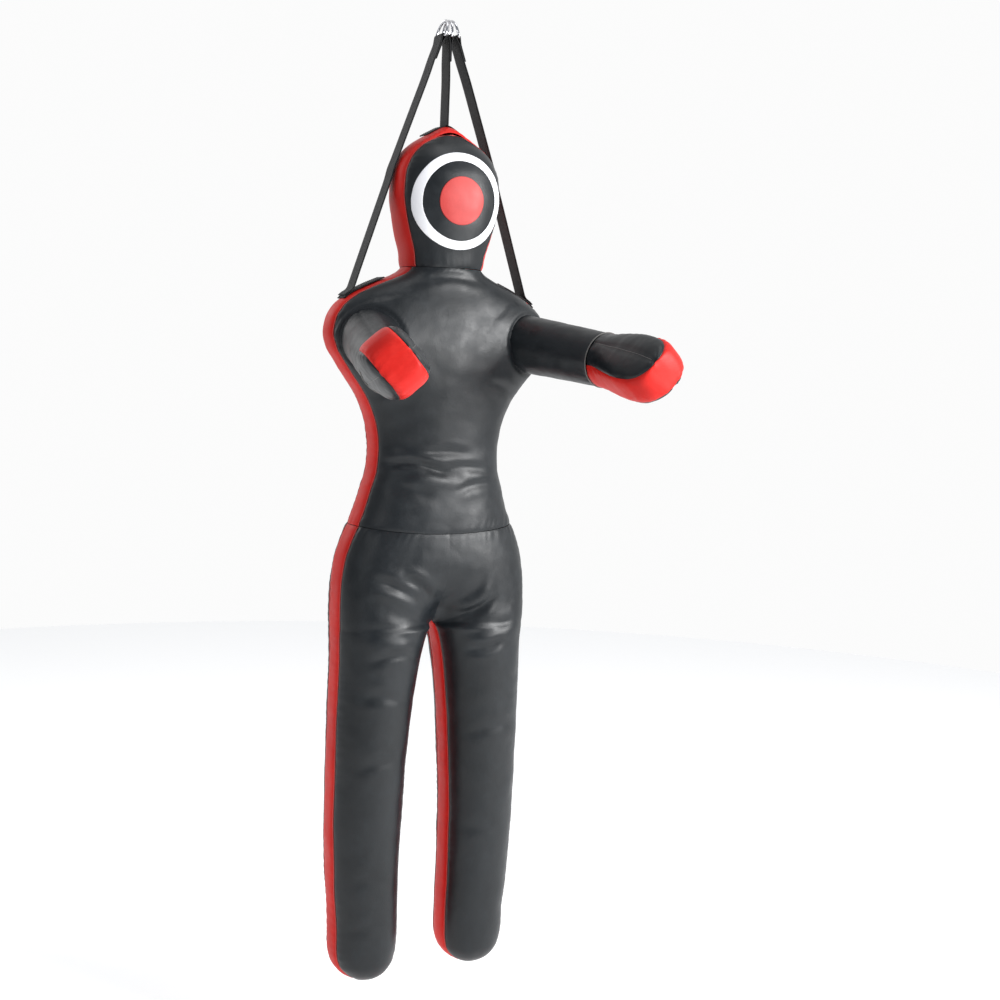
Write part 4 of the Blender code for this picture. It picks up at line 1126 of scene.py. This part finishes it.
def build_straps():
    for name, side in SIDES:
        # The strip sewn along the top of the shoulder band.
        pts, ups = [], []
        for k in range(25):
            q, up = shoulder_point(0.125 + 0.082 * k / 24, WEB_T / 2 + 0.0008)
            pts.append(flip(q, side))
            ups.append(flip(up, side))
        sewn_strip(f"{name}_anchor_strip", f"{name}_anchor_stitch", f"{name}_shoulder_anchor",
                   "torso", smooth_line(pts), ups)

        bar = Vector((side * BAR_X, 0, -RING_H))
        beside = [Vector((side * x, 0, z)) for x, z in HEAD_SIDE]
        foot, _ = shoulder_point(0.186, WEB_T + 0.0016)
        target = flip(foot, side) + Vector((0, 0, 0.0065))
        way = between(bar, beside[0], (0.35, 0.6, 0.8)) + beside
        way += between(beside[-1], target, (0.3, 0.6, 0.9)) + [target]
        way += [flip(shoulder_point(x, WEB_T * 1.5 + 0.002)[0], side)
                for x in (0.19, 0.196, 0.203)]
        hang(f"{name}_strap", bar, beside[0], way, 110, ride="torso")
    bar = Vector((0, 0, -RING_H))
    target = Vector((0, 0, HEAD[-1][0] + WEB_T + 0.0062))
    way = between(bar, target, (0.5, 0.75, 0.95)) + [target + Vector((0, 0, -0.003))]
    hang("head_strap", bar, target, way, 36,
         blend=("torso", "head", (0, 0, -0.045), (0, 0, -0.205)))

    # The crown strip, sewn down on both sides and drawn up in the middle.
    crown = HEAD[:-7:-1]
    pts, ups = [], []
    for k in range(-14, 15):
        x = 0.043 * k / 14
        z = float(np.interp(abs(x), [r[1] for r in crown], [r[0] for r in crown]))
        z += 0.006 * math.exp(-(x / 0.03) ** 2)
        pts.append(Vector((x, 0.004, z + WEB_T / 2 + 0.0004)))
    pts = smooth_line(pts)
    for i in range(len(pts)):
        d = (pts[min(i + 1, len(pts) - 1)] - pts[max(i - 1, 0)]).normalized()
        ups.append(Vector((-d.z, 0, d.x)))
    sewn_strip("crown_strip", "crown_stitch", "crown_anchor", "head", pts, ups)


def smooth_line(pts):
    for _ in range(3):
        middle = [(a + 2 * b + c) / 4 for a, b, c in zip(pts, pts[1:], pts[2:])]
        pts = [pts[0]] + middle + [pts[-1]]
    return pts


def build_rings():
    for side, name, body in ((1, "left", "left_ring_body"), (-1, "right", "right_ring_body"),
                             (0, "head", "torso")):
        bar = Vector((side * BAR_X, 0, -RING_H))
        rise = Vector((side * TOP_X, 0, WIRE)) - bar
        path = []
        for k in range(73):
            t = math.pi * k / 72
            across = Vector((0, RING_HALF * math.cos(t), 0))
            path.append(bar + rise * (math.sin(t) ** 0.75) + across)
        path += [bar + Vector((0, -RING_HALF + 2 * RING_HALF * k / 24, 0)) for k in range(1, 24)]
        # Round off the two bottom corners.
        for _ in range(4):
            path = [(path[i - 1] + 2 * path[i] + path[(i + 1) % len(path)]) / 4
                    for i in range(len(path))]
        across = rise.cross(Vector((0, 1, 0))).normalized()
        obj = tube(f"{name}_d_ring", path, WIRE, CHROME, 20, True, across)
        dress(obj, (f"{name}_ring",), ride=body)


# ---- zip

def back_y(x, z):
    a, b, c = spline(TORSO, np.atleast_1d(z))
    return float(c[0] + b[0] * (1 - (abs(x) / a[0]) ** POWER) ** (1 / POWER))


def build_zip():
    for name, side in SIDES:
        xs = np.linspace(0.0024, ZIP_HALF - 0.0008, 8)
        # The tape's outer edge lies lower, under the leather.
        p = np.array([[(side * x, back_y(x, z) - 0.0004 - 0.0042 * float(step(x, 0.004, 0.0105)), z)
                       for x in xs] for z in np.linspace(ZIP_LOW, ZIP_TOP, 100)])
        obj = sheet_mesh(f"zip_tape_{name}", p[:, ::-1] if side > 0 else p, TAPE)
        mod = obj.modifiers.new("thickness", "SOLIDIFY")
        mod.thickness, mod.offset = 0.001, -1
        dress(obj, (f"zipper_tape_{name}",), blend=WAIST_BLEND)
    # The coil: interleaved loops, each through points (x, y) from the one side to the other.
    loop = ((0.0023, -0.0004), (0.001, 0.0004), (-0.0006, 0.0005), (-0.0011, -0.0001),
            (-0.0004, -0.0006))
    up = Vector((0, 0, 1))
    verts, faces = [], []
    z, side = ZIP_LOW + 0.001, -1
    while z < ZIP_TOP - 0.001:
        y = back_y(0, z) + 0.0002
        path = [Vector((side * dx, y + dy, z)) for dx, dy in loop]
        faces += ring_faces(len(loop), STITCH_SIDES, len(verts), caps=False)
        for j, q in enumerate(path):
            out = (path[min(j + 1, 4)] - path[max(j - 1, 0)]).normalized().cross(up)
            for k in range(STITCH_SIDES):
                t = 2 * math.pi * k / STITCH_SIDES
                verts.append(q + up * 0.00052 * math.sin(t) + out * 0.00042 * math.cos(t))
        z += 0.00125
        side = -side
    dress(mesh_object("zip_coil_loops", verts, faces, COIL), ("zipper_teeth",), blend=WAIST_BLEND)
    for node in ("zipper_slider", "zipper_pull"):
        obj = frame["nodes"][node]
        obj.data.materials.clear()
        obj.data.materials.append(NICKEL)
        mod = obj.modifiers.new("edges", "BEVEL")
        mod.width, mod.segments, mod.limit_method = 0.0005, 3, "ANGLE"


# ---- light, floor, camera

def build_stage():
    world = bpy.data.worlds.new("studio")
    scene.world = world
    world.use_nodes = True
    tree = world.node_tree
    # White behind the dummy, greyer in front of it, so that the black leather stays dark.
    coord = coordinates(tree, "Generated")
    ahead = tree.nodes.new("ShaderNodeVectorMath")
    ahead.operation = "DOT_PRODUCT"
    ahead.inputs[1].default_value = (0.42, 0.9, 0.0)
    tree.links.new(coord, ahead.inputs[0])
    shade = ramp(tree, ahead.outputs["Value"], -0.55, 0.35)
    tone = mix(tree, shade, (0.26, 0.28, 0.31), (0.97, 0.97, 0.97))
    tree.links.new(tone, tree.nodes["Background"].inputs["Color"])
    mesh = bpy.data.meshes.new("floor")
    bm = bmesh.new()
    bmesh.ops.create_circle(bm, cap_ends=True, segments=96, radius=4.6)
    bm.to_mesh(mesh)
    bm.free()
    floor = put(bpy.data.objects.new("floor", mesh))
    floor.location = (0, 0, -2.06)
    mat, tree, shader = node_material("floor_paint", 0.9, spec=0.1)
    shader.inputs["Base Color"].default_value = (0.94, 0.94, 0.94, 1)
    shader.inputs["Emission Color"].default_value = (1, 1, 1, 1)
    shader.inputs["Emission Strength"].default_value = 0.2
    mesh.materials.append(mat)
    for name, place, aim, power, size in (
            ("key", (2.1, -2.7, -0.12), -0.68, 180, 1.6),
            ("fill", (-2.8, -2.4, 0.2), -0.8, 10, 1.0),
            ("top", (0.2, -0.9, 2.2), -0.8, 20, 1.4),
            ("rim", (-1.6, 2.6, 0.6), -0.8, 12, 1.4)):
        light = bpy.data.lights.new(name, "AREA")
        light.energy, light.size = power, size
        lamp = put(bpy.data.objects.new(name, light))
        lamp.location = place
        towards = Vector((0, 0, aim)) - Vector(place)
        lamp.rotation_euler = towards.to_track_quat("-Z", "Y").to_euler()
    scene.view_settings.view_transform = "Standard"


def build_camera():
    """A little to the dummy's right and level with its chest, framed lower by a small shift."""
    around, distance, level = math.radians(-25.0), 3.0, -0.655
    aside, roll = math.radians(2.46), math.radians(2.1)
    data = bpy.data.cameras.new("camera")
    data.lens, data.sensor_width, data.shift_y = 53.6, 36, -0.15
    cam = put(bpy.data.objects.new("camera", data))
    cam.location = (math.sin(around) * distance, -math.cos(around) * distance, level)
    level_turn = Matrix.Rotation(around - aside, 3, "Z") @ Matrix.Rotation(math.radians(90), 3, "X")
    cam.rotation_euler = (level_turn @ Matrix.Rotation(roll, 3, "Z")).to_euler()
    scene.camera = cam


build_camera()
build_stage()
build_torso()
build_head()
build_target()
build_legs()
for arm, where in SIDES:
    build_arm(arm, where)
build_straps()
build_rings()
build_zip()
